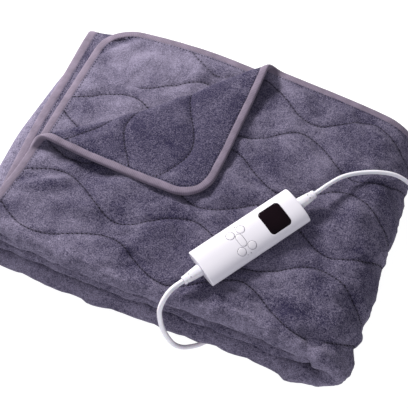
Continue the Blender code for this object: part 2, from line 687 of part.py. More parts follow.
def smooth_through(knots, spacing):
    """Points about a spacing apart on a centripetal curve through the knots."""
    padded = np.vstack([2 * knots[0] - knots[1], knots, 2 * knots[-1] - knots[-2]])
    pieces = []
    for index in range(1, len(padded) - 2):
        p0, p1, p2, p3 = padded[index - 1:index + 3]
        marks = np.concatenate([[0.0], np.cumsum([math.sqrt(np.linalg.norm(b - a) + 1e-9)
                                                  for a, b in ((p0, p1), (p1, p2), (p2, p3))])])
        at = np.linspace(marks[1], marks[2], 24, endpoint=False)[:, None]
        near = [a + (b - a) * (at - s) / (e - s) for a, b, s, e in
                ((p0, p1, marks[0], marks[1]), (p1, p2, marks[1], marks[2]), (p2, p3, marks[2], marks[3]))]
        wide = [near[0] + (near[1] - near[0]) * (at - marks[0]) / (marks[2] - marks[0]),
                near[1] + (near[2] - near[1]) * (at - marks[1]) / (marks[3] - marks[1])]
        pieces.append(wide[0] + (wide[1] - wide[0]) * (at - marks[1]) / (marks[2] - marks[1]))
    dense = np.vstack(pieces + [padded[-2:-1]])
    travelled = np.concatenate([[0.0], np.cumsum(np.linalg.norm(np.diff(dense, axis=0), axis=1))])
    even = np.linspace(0, travelled[-1], max(3, int(round(travelled[-1] / spacing)) + 1))
    return np.stack([np.interp(even, travelled, dense[:, axis]) for axis in range(3)], -1)


def tube(name, path, radius, look, group):
    """A lead: a curve object with a round bevel and filled ends."""
    curve = bpy.data.curves.new(name, "CURVE")
    curve.dimensions = "3D"
    curve.bevel_depth = radius
    curve.bevel_resolution = 2
    curve.use_fill_caps = True
    line = curve.splines.new("POLY")
    line.points.add(len(path) - 1)
    for point, place in zip(line.points, path):
        point.co = (*place, 1.0)
    curve.materials.append(look)
    thing = bpy.data.objects.new(name, curve)
    group.objects.link(thing)
    return thing


def crown(across, rise):
    """Height of the case's lens-shaped section over the parting line."""
    share = np.clip(np.abs(across) / (CASE_WIDTH / 2), 0, 1)
    return rise * (1 - share ** 2.4) ** 0.62


def case_section(rise, inset, side):
    """Half of the case's section, closed by the parting line. inset: a wall's thickness."""
    share = np.cos(np.linspace(0, math.pi, 16))
    return (CASE_WIDTH / 2 - inset) * share, crown(share * CASE_WIDTH / 2, rise - inset) * side


def case_half(name, rise, inset, side, offset):
    """Half a case: its section carried along it, drawn in a little at the eased ends."""
    across, up = case_section(rise, inset, side)
    half = CASE_LENGTH / 2 - inset
    stations = ((-half, CASE_END_WIDTH, CASE_END_HEIGHT), (-half + CASE_END_EASE, 1.0, 1.0),
                (half - CASE_END_EASE, 1.0, 1.0), (half, CASE_END_WIDTH, CASE_END_HEIGHT))
    rings = []
    for along, wide, high in stations:
        rings.append(np.stack([np.full(across.shape, along), across * wide, up * high + offset], -1))
    return loft(name, rings)


def key_outline(along, across, length_across, length_along, grow=0.0):
    """Outline of a key: a circle, or an oval with straight sides across the case."""
    radius = length_along / 2 + grow
    turn = np.linspace(0, 2 * math.pi, 12, endpoint=False)
    side = np.sin(turn)
    stretch = (length_across - length_along) / 2
    return np.column_stack([KEYS_ALONG + along + radius * np.cos(turn),
                            across + radius * side + np.sign(side.round(6)) * stretch])


def upright_prism(name, outline, low, high):
    """A prism on an outline, whose columns are its points along and across the case."""
    rings = [np.column_stack([outline, np.full(len(outline), level)]) for level in (low, high)]
    return loft(name, rings)


def crowned_prism(name, outline, low):
    """A prism on an outline whose top follows the crown of the cover, a little proud of it."""
    rings = [np.column_stack([outline, np.full(len(outline), low)])]
    middle = outline.mean(axis=0)
    for share in (1.0, 0.66, 0.3):
        drawn_in = middle + (outline - middle) * share
        rings.append(np.column_stack([drawn_in, crown(drawn_in[:, 1], CASE_RISE) + FIT_GAP / 2]))
    return loft(name, rings)


def window_outline(grow=0.0):
    """Outline of the display window: a rounded box, with points across its two ends."""
    radius = WINDOW_ROUND + grow
    reach = WINDOW_WIDTH / 2 - WINDOW_ROUND
    far, near = WINDOW_TO - WINDOW_ROUND, WINDOW_FROM + WINDOW_ROUND
    points = []
    for way, this_end, other_end in ((1, far, near), (-1, near, far)):
        points += [(this_end + way * radius, way * reach * share) for share in (-0.6, -0.2, 0.2, 0.6)]
        for centre, start in ((this_end, 0.0), (other_end, math.pi / 2)):
            for turn in quarter_turns(3):
                angle = start + turn
                points.append((centre + way * radius * math.cos(angle),
                               way * (reach + radius * math.sin(angle))))
    return np.array(points)


def binding_stations():
    """Stations of the binding round the cloth: length, width, and the way out in both."""
    far, wide = CLOTH_LENGTH, CLOTH_WIDTH
    stations = []

    def corner(centre_length, centre_width, start, count):
        for turn in quarter_turns(count):
            out_length, out_width = math.cos(start + turn), math.sin(start + turn)
            stations.append((centre_length + CORNER_ROUND * out_length,
                             centre_width + CORNER_ROUND * out_width, out_length, out_width))

    half_widths = [FLAP_DEPTH + before for before in (7 * MM, 3.5 * MM, 0.0)]
    half_widths += [roll_half_width(turn) for turn in roll_turns()]
    half_widths += [FLAP_DEPTH - past for past in flap_runs()]
    on_flap = sorted(math.sqrt(2) * half_width for half_width in half_widths)
    flap_end = on_flap[-1] + 3 * MM
    straight = [length for length in coarse_lengths() if CORNER_ROUND < length < far - CORNER_ROUND]
    first = on_flap + [length for length in straight if length > flap_end]
    stations += [(length, 0.0, 0.0, -1.0) for length in first]
    corner(far - CORNER_ROUND, CORNER_ROUND, -math.pi / 2, 3)
    ends = sorted(WIDTH_ENDS[1:7] + spread(WIDTH_ENDS[1], WIDTH_ENDS[2], 4)
                  + spread(WIDTH_ENDS[3], WIDTH_ENDS[4], 3) + spread(WIDTH_ENDS[5], WIDTH_ENDS[6], 3)
                  + [width for run in (0, 2, 4, 6) for width in run_widths(run)])
    stations += [(far, width, 1.0, 0.0) for width in ends]
    corner(far - CORNER_ROUND, wide - CORNER_ROUND, 0.0, 3)
    stations += [(length, wide, 0.0, 1.0) for length in straight[::-1]]
    corner(CORNER_ROUND, wide - CORNER_ROUND, math.pi / 2, 3)
    left = on_flap + [width for width in ends if width > flap_end]
    stations += [(0.0, width, -1.0, 0.0) for width in left[::-1]]
    corner(CORNER_ROUND, CORNER_ROUND, math.pi, 6)
    return stations


def bind_edge(group, look):
    """The binding: its section carried round the cloth's edge, the turned corner included."""
    section = np.array(BINDING_SECTION)
    rings = []
    for length, width, out_length, out_width in binding_stations():
        rings.append(cloth_point(length + out_length * section[:, 0], width + out_width * section[:, 0],
                                 section[:, 1]))
    mesh = loft("edge_binding", rings, closed=True)
    settle_mesh(mesh)
    return new_object("edge_binding", mesh, look, group)


def turned(name, profile, look, group, frame):
    """A turned piece about the case's long axis: a profile with a Screw modifier, baked."""
    mesh = bpy.data.meshes.new(name)
    mesh.from_pydata([(r * MM, 0.0, d * MM) for d, r in profile], [],
                     [(i, i + 1) for i in range(len(profile) - 1)])
    thing = new_object(name, mesh, look, group)
    screw = thing.modifiers.new("turn", "SCREW")
    screw.steps = screw.render_steps = 14
    screw.use_merge_vertices = True
    screw.merge_threshold = 0.00005
    thing.matrix_world = frame
    return thing


def case_frame():
    """The case's own axes in the world: along it, across it, out of its face, and its place.

    The place is worked out so that the base clears the settled cloth by SEAT_CLEARANCE.
    """
    level = Vector((math.cos(CASE_HEADING), math.sin(CASE_HEADING), 0.0))
    along = level * math.cos(CASE_PITCH) + Vector((0, 0, 1)) * math.sin(CASE_PITCH)
    level_across = Vector((-level.y, level.x, 0.0))
    across = level_across * math.cos(CASE_ROLL) + along.cross(level_across) * math.sin(CASE_ROLL)
    out = along.cross(across)
    steps = np.linspace(-1, 1, 25)
    far, wide = np.meshgrid(steps * CASE_LENGTH / 2, steps * CASE_WIDTH / 2, indexing="ij")
    below = -crown(wide, CASE_DROP)
    places = (far[..., None] * np.array(along) + wide[..., None] * np.array(across)
              + below[..., None] * np.array(out) + np.array([*CASE_PLACE, 0.0]))
    lift = np.max(top_height(places[..., 0], places[..., 1]) - places[..., 2]) + SEAT_CLEARANCE
    frame = Matrix((along, across, out)).transposed().to_4x4()
    frame.translation = Vector((*CASE_PLACE, lift))
    return frame


def put(thing, frame):
    """Moves a mesh that was made in the case's own axes to its place in the world."""
    thing.data.transform(frame)
    thing.data.update()
    return thing


def coil(look, group):
    """Outer shape of the coiled spare lead: a ring turned from a rounded section."""
    ease = 3 * MM
    section = [(COIL_INNER + ease, 0.0), (COIL_INNER, ease), (COIL_INNER, COIL_HEIGHT - ease),
               (COIL_INNER + ease, COIL_HEIGHT), (COIL_OUTER - ease, COIL_HEIGHT),
               (COIL_OUTER, COIL_HEIGHT - ease), (COIL_OUTER, ease), (COIL_OUTER - ease, 0.0)]
    rings = []
    for turn in np.linspace(0, 2 * math.pi, 20, endpoint=False):
        rings.append([(COIL_MIDDLE[0] + r * math.cos(turn), COIL_MIDDLE[1] + r * math.sin(turn), h)
                      for r, h in section])
    return new_object("mains_coil", loft("mains_coil", rings, closed=True), look, group)


def plug(look, pin_look, group):
    """A flat two-pin plug lying on the ring of the coil."""
    lift = COIL_HEIGHT + FIT_GAP + PLUG_THICKNESS / 2
    frame = (Matrix.Translation((*COIL_MIDDLE, lift)) @ Matrix.Rotation(PLUG_HEADING, 4, "Z")
             @ Matrix.Translation((*PLUG_ON_COIL, 0.0)))
    rings = []
    for along, width, thickness in PLUG_SECTIONS:
        turn = np.linspace(0, 2 * math.pi, 16, endpoint=False)
        across = width / 2 * np.sign(np.cos(turn)) * np.abs(np.cos(turn)) ** 0.5 * MM
        up = thickness / 2 * np.sign(np.sin(turn)) * np.abs(np.sin(turn)) ** 0.5 * MM
        rings.append(np.stack([np.full(turn.shape, along * MM), across, up], -1))
    body = loft("plug_body", rings)
    body.transform(frame)
    new_object("plug_body", body, look, group)
    front = PLUG_SECTIONS[-1][0] * MM
    for side, name in ((1, "plug_pin_left"), (-1, "plug_pin_right")):
        pin = bpy.data.meshes.new(name)
        work = bmesh.new()
        bmesh.ops.create_cone(work, cap_ends=True, segments=12, radius1=PIN_RADIUS, radius2=PIN_RADIUS,
                              depth=PIN_LENGTH)
        place = Matrix.Translation((front + FIT_GAP + PIN_LENGTH / 2, side * PIN_SPACING / 2, 0))
        bmesh.ops.transform(work, matrix=frame @ place @ Matrix.Rotation(math.pi / 2, 4, "Y"), verts=work.verts)
        work.to_mesh(pin)
        work.free()
        new_object(name, pin, pin_look, group)


def lead_entry(lead, group):
    """A round pocket in the cloth round the end of the blanket lead."""
    way = Vector(lead[-1] - lead[-2]).normalized()
    mesh = bpy.data.meshes.new("lead_entry")
    hole = bmesh.new()
    radius = BLANKET_LEAD / 2 + ENTRY_CLEARANCE
    bmesh.ops.create_cone(hole, cap_ends=True, segments=12, radius1=radius, radius2=radius,
                          depth=ENTRY_LENGTH)
    turn = Vector((0, 0, 1)).rotation_difference(way).to_matrix().to_4x4()
    middle = Vector(lead[-1]) + way * (ENTRY_BEYOND - ENTRY_LENGTH / 2)
    bmesh.ops.transform(hole, matrix=Matrix.Translation(middle) @ turn, verts=hole.verts)
    hole.to_mesh(mesh)
    hole.free()
    return as_cutter(mesh, group)


def controller(frame, looks, group, cutters):
    """The case's two halves, the display window and the keys."""
    cover = new_object("controller_cover", case_half("controller_cover", CASE_RISE, 0.0, 1, FIT_GAP / 2),
                       looks["case"], group)
    cut(cover, as_cutter(case_half("cover_hollow", CASE_RISE, CASE_WALL, 1, -HOLLOW_SHIFT), cutters))
    base = new_object("controller_base", case_half("controller_base", CASE_DROP, 0.0, -1, -FIT_GAP / 2),
                      looks["case"], group)
    cut(base, as_cutter(case_half("base_hollow", CASE_DROP, CASE_WALL, -1, HOLLOW_SHIFT), cutters))

    above = 2 * CASE_RISE
    pocket = upright_prism("window_pocket", window_outline(FIT_GAP), WINDOW_FLOOR, above)
    cut(cover, as_cutter(pocket, cutters))
    window = crowned_prism("display_window", window_outline(), WINDOW_FLOOR + FIT_GAP)
    put(new_object("display_window", window, looks["window"], group), frame)

    for name, along, across, long_across, long_along in KEYS:
        hole = key_outline(along, across, long_across, long_along, KEY_CLEARANCE)
        cut(cover, as_cutter(upright_prism(name + "_hole", hole, 0.5 * KEY_FOOT, above), cutters))
        key = crowned_prism(name, key_outline(along, across, long_across, long_along), KEY_FOOT)
        put(new_object(name, key, looks["keys"], group), frame)
    put(cover, frame)
    put(base, frame)


def build():
    for old in list(bpy.data.objects):
        bpy.data.objects.remove(old, do_unlink=True)
    model = bpy.data.collections.new("heated_blanket")
    cutters = bpy.data.collections.new("cutters")
    for group in (model, cutters):
        bpy.context.scene.collection.children.link(group)

    plush = material("plush", (0.155, 0.135, 0.195), 0.9)
    tape = material("binding_tape", (0.32, 0.27, 0.31), 0.7)
    soft_white = material("white_pvc", (0.74, 0.74, 0.80), 0.45)
    nickel = material("nickel_brass", (0.66, 0.64, 0.60), 0.3, 1.0)
    looks = {"case": material("white_abs", (0.84, 0.83, 0.87), 0.35),
             "keys": material("white_keys", (0.80, 0.79, 0.84), 0.4),
             "window": material("smoke_acrylic", (0.004, 0.003, 0.005), 0.08)}

    # Cloth and its binding
    blanket = new_object("blanket", folded_cloth(), plush, model)
    cut(blanket, corner_cutter(cutters))
    cut(blanket, as_cutter(flap_mesh(), cutters), "UNION")
    settle_mesh(blanket.data, creased=True)
    bind_edge(model, tape)

    # Controller and its strain reliefs
    frame = case_frame()
    controller(frame, looks, model, cutters)
    tips, ways = {}, {}
    for name, side in (("relief_mains", 1), ("relief_blanket", -1)):
        seat = Matrix.Translation((side * (CASE_LENGTH / 2 + FIT_GAP), 0, 0))
        outwards = Matrix.Rotation(side * math.pi / 2, 4, "Y")
        closed = [(0.0, 0.0), *RELIEF_PROFILE, (RELIEF_LENGTH / MM, 0.0)]
        turned(name, closed, soft_white, model, frame @ seat @ outwards)
        tips[name] = frame @ Vector((side * (CASE_LENGTH / 2 + RELIEF_LENGTH + 2 * FIT_GAP), 0, 0))
        ways[name] = frame.to_3x3() @ Vector((side, 0, 0))

    # Leads, coil and plug
    lead = lead_path(BLANKET_ROUTE, BLANKET_LEAD, tips["relief_blanket"], ways["relief_blanket"])
    tube("blanket_lead", lead, BLANKET_LEAD / 2, soft_white, model)
    cut(blanket, lead_entry(lead, cutters))
    mains = lead_path(MAINS_ROUTE, MAINS_LEAD, tips["relief_mains"], ways["relief_mains"])
    tube("mains_lead", mains, MAINS_LEAD / 2, soft_white, model)
    coil(soft_white, model)
    plug(soft_white, nickel, model)
    return model


build()
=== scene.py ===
"""The looks of the folded electric heated blanket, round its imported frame: quilted plush,
bound edges, hand controller, leads and plug, with a pale floor, soft light and the camera.

Metres, +Z up, in the frame's own axes: X along the front fold, Y from the front to the back.
"""
import json
import math

import bpy
import numpy as np
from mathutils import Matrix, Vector


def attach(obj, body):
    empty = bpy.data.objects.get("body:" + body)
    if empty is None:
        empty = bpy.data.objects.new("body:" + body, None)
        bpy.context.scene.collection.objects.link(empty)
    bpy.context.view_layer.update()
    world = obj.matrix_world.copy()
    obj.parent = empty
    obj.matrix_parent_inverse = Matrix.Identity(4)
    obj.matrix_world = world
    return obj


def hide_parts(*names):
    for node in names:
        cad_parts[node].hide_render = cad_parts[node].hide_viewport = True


MM = 0.001
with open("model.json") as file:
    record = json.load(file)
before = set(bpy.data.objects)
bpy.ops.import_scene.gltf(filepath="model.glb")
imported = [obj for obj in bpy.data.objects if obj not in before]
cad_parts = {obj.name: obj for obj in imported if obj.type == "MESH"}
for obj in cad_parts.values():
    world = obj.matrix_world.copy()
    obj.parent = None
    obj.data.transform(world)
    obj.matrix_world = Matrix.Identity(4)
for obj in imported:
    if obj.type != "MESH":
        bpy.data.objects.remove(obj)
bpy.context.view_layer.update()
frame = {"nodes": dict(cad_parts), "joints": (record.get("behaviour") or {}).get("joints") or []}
BLANKET = "folded_blanket"      # the body that everything but the keys rides on

# ---- the folded cloth: its sizes and folds are those of the part's source --------------------
CLOTH = 5.3 * MM
CLOTH_PITCH = 6.25 * MM
PASS_PITCH = 4 * CLOTH_PITCH
HEIGHT = 4 * PASS_PITCH
UNDER_GAP = (CLOTH_PITCH - CLOTH) / 2
LEFT_END = -191 * MM
RIGHT_TURN = 180 * MM
INNER_RIGHT_TURN = 165 * MM
LEFT_TURN = -220 * MM
BACK_END = 158 * MM
FRONT_TURN = -158 * MM
INNER_FRONT_TURN = -150 * MM
SECOND_BACK_END = 151 * MM
CORNER_ROUND = 32 * MM
SMALL_TURN = math.pi * 0.5 * PASS_PITCH

# Lengthwise folding: (length of the stretch, turn in radians); then crosswise, cloths a, d, c, b.
LENGTHWISE = (
    (RIGHT_TURN - LEFT_END, 0.0),
    (math.pi * 1.5 * PASS_PITCH, -math.pi),
    (RIGHT_TURN - LEFT_TURN, 0.0),
    (SMALL_TURN, -math.pi),
    (INNER_RIGHT_TURN - LEFT_TURN, 0.0),
    (SMALL_TURN, math.pi),
    (INNER_RIGHT_TURN - LEFT_END, 0.0),
)
CROSSWISE = (
    (BACK_END - FRONT_TURN, 0.0),
    (math.pi * 1.5 * CLOTH_PITCH, math.pi),
    (BACK_END - FRONT_TURN, 0.0),
    (math.pi * 0.5 * CLOTH_PITCH, math.pi),
    (BACK_END - INNER_FRONT_TURN, 0.0),
    (math.pi * 0.5 * CLOTH_PITCH, -math.pi),
    (SECOND_BACK_END - INNER_FRONT_TURN, 0.0),
)
LENGTH_ENDS = np.concatenate([[0.0], np.cumsum([length for length, turn in LENGTHWISE])])
WIDTH_ENDS = np.concatenate([[0.0], np.cumsum([length for length, turn in CROSSWISE])])
CLOTH_LENGTH, CLOTH_WIDTH = float(LENGTH_ENDS[-1]), float(WIDTH_ENDS[-1])

# Quilting seams: (mid line, side of the wave, x of its crest) on the top and the second cloth,
# and on the turned corner. HIDDEN_TO: up to which x the nap hides a seam of the second cloth.
SEAM_WAVE = 158 * MM
SEAM_SWING = 17 * MM
TOP_SEAMS = [(128 * MM - 53 * MM * number, 1 - 2 * (number % 2), 8 * MM) for number in range(6)]
SECOND_SEAMS = ((147 * MM, 1, -130 * MM), (99 * MM, -1, -132 * MM), (50 * MM, 1, -132 * MM),
                (5 * MM, -1, -132 * MM))
HIDDEN_TO = -128 * MM
FLAP_SEAMS = ((107 * MM, 1, -140 * MM), (58 * MM, -1, -133 * MM), (8 * MM, 1, -125 * MM))

# Turned-back corner
CORNER_FOLD = 135 * MM
BEND_MIDDLE = 4.6 * MM
BEND_ENDS = 10.5 * MM
FLAP_REST = CLOTH + 1.3 * MM
FLAP_SETTLE = 50 * MM
FLAP_DEPTH = (BACK_END - LEFT_END - CORNER_FOLD) / math.sqrt(2)
FOLD_MIDDLE = (LEFT_END + BACK_END) / math.sqrt(2)
FLAP_LIFT = 1.1 * MM        # the flap stands up by up to twice this in places

# How the pile sits: tables in millimetres, a row for each place. Heights, partings and the
# setback at the front are those of the part's source. The left end and the back go further.
KNOT_X = np.array([-250, -201, -137.5, -74, -10.5, 53, 116.5, 180, 235]) * MM
KNOT_Y = np.array([-176, -158, -80, 0, 80, 158, 172]) * MM
KNOT_Z = np.array([0, 12.5, 25, 37.5, 50, 62.5, 75, 86.65, 87.4, 100]) * MM
CLOTH_C_TOP = 87 * MM
# Height as a share of the full height: x, then at y = -158, -80, 0, 80, 158.
PILE_HEIGHT = (
    (-250, 0.91, 0.96, 0.97, 0.97, 0.96),
    (-201, 0.91, 0.97, 0.98, 0.98, 0.97),
    (-74, 0.89, 0.97, 1.00, 1.01, 0.99),
    (53, 0.87, 0.95, 1.00, 1.02, 1.00),
    (180, 0.86, 0.92, 0.97, 1.00, 0.98),
    (235, 0.86, 0.91, 0.95, 0.97, 0.95),
)
# How far each pass stays back at the front: x, top pass, second, third, bottom pass.
FRONT_SETBACK = (
    (-250, 11, 12, 12, 1),
    (-201, 11, 12, 12, 1),
    (-137.5, 6, 13, 11, -1),
    (-74, -1, 14, 12, -2),
    (-10.5, 4, 15, 12, 2),
    (53, 7, 17, 14, 4),
    (116.5, 10, 18, 15, 5),
    (180, 7, 16, 14, 3),
    (235, 1, 3, 4, 4),
)
# Where the passes part at the front: x, bottom|third, third|second, second|top.
FRONT_PARTINGS = (
    (-250, 0.34, 0.50, 0.70),
    (-74, 0.36, 0.51, 0.71),
    (53, 0.36, 0.50, 0.66),
    (180, 0.37, 0.50, 0.63),
    (235, 0.30, 0.50, 0.70),
)
# How far the back stays back: x, shift; and how much further back the two cloths on top reach.
BACK_SETBACK = ((-250, 0), (-201, -2), (-137.5, -7), (-74, -10), (-10.5, -9), (53, -7), (116.5, -3), (180, 3),
                (235, 12))
SECOND_BACK = ((-250, 4), (-201, 4), (-137.5, 7), (-74, 6.5), (-10.5, 3.5), (53, 0))
# How far the left end creeps out: y, the two cloths on top, the two under them, the folds below.
LEFT_CREEP = ((-158, 20, 20, 9), (-80, 11, 24, 17), (0, 12, 30, 21), (80, 12.7, 33, 17), (158, 13.4, 37, 12))
# It starts near the floor and is whole from FOLDS_LOW up; from FOLDS_HIGH to PASS_LOW it changes
# from that of the folds below to that of the cloths over them.
FOLDS_LOW, FOLDS_HIGH, PASS_LOW = 20 * MM, 50 * MM, 75 * MM
FLOOR_SOFT = 1.0 * MM       # what lies lower than this over the floor is pressed together
BACK_TUCK = 13 * MM         # how far the back left corners under the second cloth stay back
# How far the right-hand fold draws in: y, shift to the left.
RIGHT_DRAW = ((-176, -1), (-158, -1), (-80, 0), (0, 4), (80, 8), (172, 12))

# Creases of the top cloth: x and y of both ends, height (below 0 a trough), half width, in mm.
TOP_CREASES = (
    (-208, -78, -165, -44, 2.4, 7),
    (-212, -99, -172, -61, 2.2, 7),
    (-210, -88, -168, -52, -1.8, 6),
    (-203, -120, -140, -76, 2.8, 8),
    (-212, -122, -150, -69, -2.4, 7),
    (-160, -134, -80, -110, -2.2, 13),
    (-142, -117, -96, -97, 1.6, 8),
    (-132, -62, -104, -48, -2.2, 9),
    (-96, -64, -60, -40, 1.2, 8),
    (-60, -100, -10, -92, 1.1, 9),
    (-40, -138, 30, -128, -1.4, 9),
    (20, -30, 60, -8, 1.2, 8),
    (40, 60, 70, 100, 1.0, 9),
    (90, 110, 150, 132, 1.2, 9),
    (120, -20, 165, 10, -1.0, 9),
    (110, -104, 168, -78, 1.5, 9),
    (150, -150, 205, -120, 2.2, 10),
    (96, -140, 160, -128, -1.3, 8),
    (176, -96, 206, -60, 1.4, 8),
    (186, 10, 204, 70, 1.4, 8),
)
SECOND_CREASES = (
    (-197, 112, -150, 160, -2.0, 6),
    (-186, 104, -152, 148, 1.8, 7),
    (-176, 152, -126, 140, 1.6, 5),
    (-115, 158, -66, 131, 1.8, 6),
    (-150, 118, -96, 92, 1.2, 7),
    (-196, 60, -170, 30, 1.0, 7),
    (-60, 150, -30, 120, 1.2, 6),
)
FLAP_CREASES = (
    (-60, 20, -20, 92, 0.9, 8),
    (-120, 20, -70, 60, 0.8, 9),
    (-34, 120, -6, 150, 0.8, 7),
)

# Where the nap lies lighter or darker: x, y, half sizes, turn in degrees, change.
TOP_NAP = (
    (-190, -66, 22, 5, 40, 0.24),
    (-196, -96, 24, 5, 40, 0.22),
    (-165, -112, 40, 7, 28, 0.18),
    (-131, -46, 24, 10, 10, -0.20),
    (-172, -80, 30, 5, 38, -0.18),
    (-150, -92, 34, 7, 33, -0.14),
    (-132, -128, 46, 12, 8, 0.05),
    (-60, -78, 50, 16, 20, -0.08),
    (-14, -134, 60, 12, -6, -0.04),
    (40, 146, 32, 12, -20, 0.16),
    (51, 78, 34, 12, -10, 0.12),
    (110, 60, 22, 30, 30, 0.10),
    (78, 104, 40, 26, 20, 0.12),
    (152, 112, 38, 16, -15, -0.12),
    (196, 66, 18, 30, 0, -0.12),
    (214, -52, 16, 30, 0, -0.16),
    (154, -56, 30, 16, 20, -0.10),
    (112, -96, 46, 9, -12, 0.14),
    (160, -128, 34, 12, 5, -0.10),
    (186, -86, 10, 26, -10, 0.12),
    (182, 150, 20, 8, -20, 0.16),
    (30, 10, 20, 26, 0, 0.06),
    (60, -150, 120, 8, 0, -0.02),
    (-120, -154, 70, 7, 0, 0.08),
)
SECOND_NAP = (
    (-128, 128, 38, 10, 10, 0.24),
    (-165, 104, 20, 9, 40, 0.14),
    (-178, 62, 12, 10, 0, 0.18),
    (-166, 30, 26, 16, 20, -0.20),
    (-120, 74, 38, 10, 20, -0.16),
    (-46, 132, 28, 10, -20, -0.16),
    (-95, 92, 20, 7, 42, 0.16),
    (-178, 136, 30, 6, 46, -0.18),
    (-170, 124, 28, 7, 50, 0.14),
    (-186, 130, 10, 26, 0, -0.12),
)
# Where it is crushed and mottled on top.
TOP_CRUSHED = (
    (160, -118, 46, 34, 0, 0.9),
    (190, 40, 34, 120, 0, 0.55),
    (90, 110, 70, 50, 0, 0.4),
)

# ---- controller, leads and plug: sizes and routes of the part's source -----------------------
CASE_LENGTH = 135 * MM
CASE_WIDTH = 47 * MM
CASE_RISE = 8 * MM
CASE_DROP = 8.5 * MM
CASE_ROUND = 1.3 * MM       # edge radius at the two ends
PARTING = 0.15 * MM         # half the gap between cover and base
WINDOW_FROM = 19.5 * MM
WINDOW_TO = 47.5 * MM
WINDOW_WIDTH = 30.5 * MM
WINDOW_ROUND = 4.5 * MM
WINDOW_FLOOR = 4.6 * MM
KEY_FOOT = 1.5 * MM
KEY_POCKET_FLOOR = 0.7 * MM
KEY_GAP = 0.38 * MM
KEYS_ALONG = -12.8 * MM
# node, along and across from the group's middle, length across, length along
KEYS = (
    ("key_power", 0.0, 0.0, 16 * MM, 8 * MM),
    ("key_heat_up", 7.0 * MM, 11.2 * MM, 9.6 * MM, 9.6 * MM),
    ("key_heat_down", -7.0 * MM, 11.2 * MM, 9.6 * MM, 9.6 * MM),
    ("key_time_up", 7.0 * MM, -11.2 * MM, 9.6 * MM, 9.6 * MM),
    ("key_time_down", -7.0 * MM, -11.2 * MM, 9.6 * MM, 9.6 * MM),
)
RELIEF_LENGTH = 23 * MM
# Strain reliefs: distance from the case, half width, half height, in millimetres.
RELIEF_SECTIONS = ((0.0, 6.5, 5.3), (0.5, 6.8, 5.6), (4.0, 6.7, 5.5), (9.0, 6.2, 5.2), (15.0, 5.5, 4.7),
                   (18.2, 5.1, 4.4), (18.6, 4.7, 4.1), (19.4, 4.7, 4.1), (19.8, 5.1, 4.6),
                   (22.0, 4.9, 4.5), (22.8, 4.4, 4.1), (23.0, 3.6, 3.5))
DOTS_FROM, DOTS_LEVEL, DOT_RADIUS = 14.2 * MM, 4.62 * MM, 0.7 * MM
BLANKET_LEAD = 5.8 * MM
MAINS_LEAD = 5.0 * MM
STRAIGHT_OUT = 1.5
# Routes given in millimetres, from the strain relief on.
BLANKET_ROUTE = ((23.5, -159, 97), (20.5, -169, 92), (19, -177, 82), (20.5, -181, 66), (24, -183, 48),
                 (30, -183, 29), (37, -181, 13), (45, -177, 5.2), (53, -171.5, 3.3), (60, -166, 3.2),
                 (66, -159, 3.2))
MAINS_ROUTE = ((136, 32.5, 110.5), (147, 50, 108.5), (164, 65, 106), (184, 76, 104), (203, 82, 100),
               (221, 82, 91), (236, 77, 73), (243, 72, 50), (246, 69, 28), (250, 67, 10),
               (257, 66.5, 3.2), (268, 71.2, 2.8), (280.3, 77.2, 2.8), (292.7, 81.4, 2.8))
COIL_MIDDLE = (306 * MM, 118 * MM)
COIL_RADII = (34.3 * MM, 28.7 * MM, 23.1 * MM)
COIL_HEIGHTS = (2.8 * MM, 8.4 * MM, 14.0 * MM)
COIL_TOP = 17.5 * MM
PLUG_ON_COIL = (20 * MM, 21.5 * MM)     # its middle from the coil's, in X and Y; it points along Y
PLUG_TAIL = 24.3 * MM       # from its middle back to where the lead goes in
COIL_TURNS = 8.8            # then the end climbs to the plug
PLUG_THICKNESS = 13.5 * MM
# Sections of the plug: place along it from its middle, width, thickness, in millimetres.
PLUG_SECTIONS = ((-24, 7, 7), (-16, 11, 9), (-6, 24, 12.5), (4, 33, 13.5), (12, 35, 13.5), (14, 33, 12))
PIN_LENGTH = 19 * MM
PIN_RADIUS = 2.0 * MM
PIN_SPACING = 18.6 * MM
FIT_GAP = 0.3 * MM

# ---- camera ----------------------------------------------------------------------------------
PHOTO_SIZE = 408            # pixels
FOCAL = 1000                # pixels
SENSOR = 36.0               # mm
CAMERA_AZIMUTH = math.radians(23.7)
CAMERA_ELEVATION = math.radians(57.6)
CAMERA_DISTANCE = 1.25
AIM_RIGHT, AIM_UP = -0.0056, 0.0153     # of the point aimed at, in the picture's own directions


def camera_axes():
    """The picture's right, its up and the way back to the camera, as unit vectors."""
    a, e = CAMERA_AZIMUTH, CAMERA_ELEVATION
    back = Vector((math.sin(a) * math.cos(e), -math.cos(a) * math.cos(e), math.sin(e)))
    right = Vector((math.cos(a), math.sin(a), 0.0))
    return right, back.cross(right), back


def place_camera():
    right, up, back = camera_axes()
    lens = bpy.data.cameras.new("camera")
    lens.sensor_width = SENSOR
    lens.lens = FOCAL / PHOTO_SIZE * SENSOR
    lens.clip_start = 0.01
    camera = bpy.data.objects.new("camera", lens)
    camera.location = right * AIM_RIGHT + up * AIM_UP + back * CAMERA_DISTANCE
    camera.rotation_euler = (-back).to_track_quat("-Z", "Y").to_euler()
    bpy.context.scene.collection.objects.link(camera)
    bpy.context.scene.camera = camera


def area_light(name, place, aim, size, power, tint):
    lamp = bpy.data.lights.new(name, "AREA")
    lamp.shape = "DISK"
    lamp.size = size
    lamp.energy = power
    lamp.color = colour(tint)[:3]
    thing = bpy.data.objects.new(name, lamp)
    thing.location = place
    thing.rotation_euler = (Vector(place) - Vector(aim)).to_track_quat("Z", "Y").to_euler()
    bpy.context.scene.collection.objects.link(thing)


# ---- materials -------------------------------------------------------------------------------
def colour(code):
    """sRGB hex to a linear colour with alpha 1."""
    parts = [int(code[at:at + 2], 16) / 255 for at in (1, 3, 5)]
    return (*(p / 12.92 if p <= 0.04045 else ((p + 0.055) / 1.055) ** 2.4 for p in parts), 1.0)


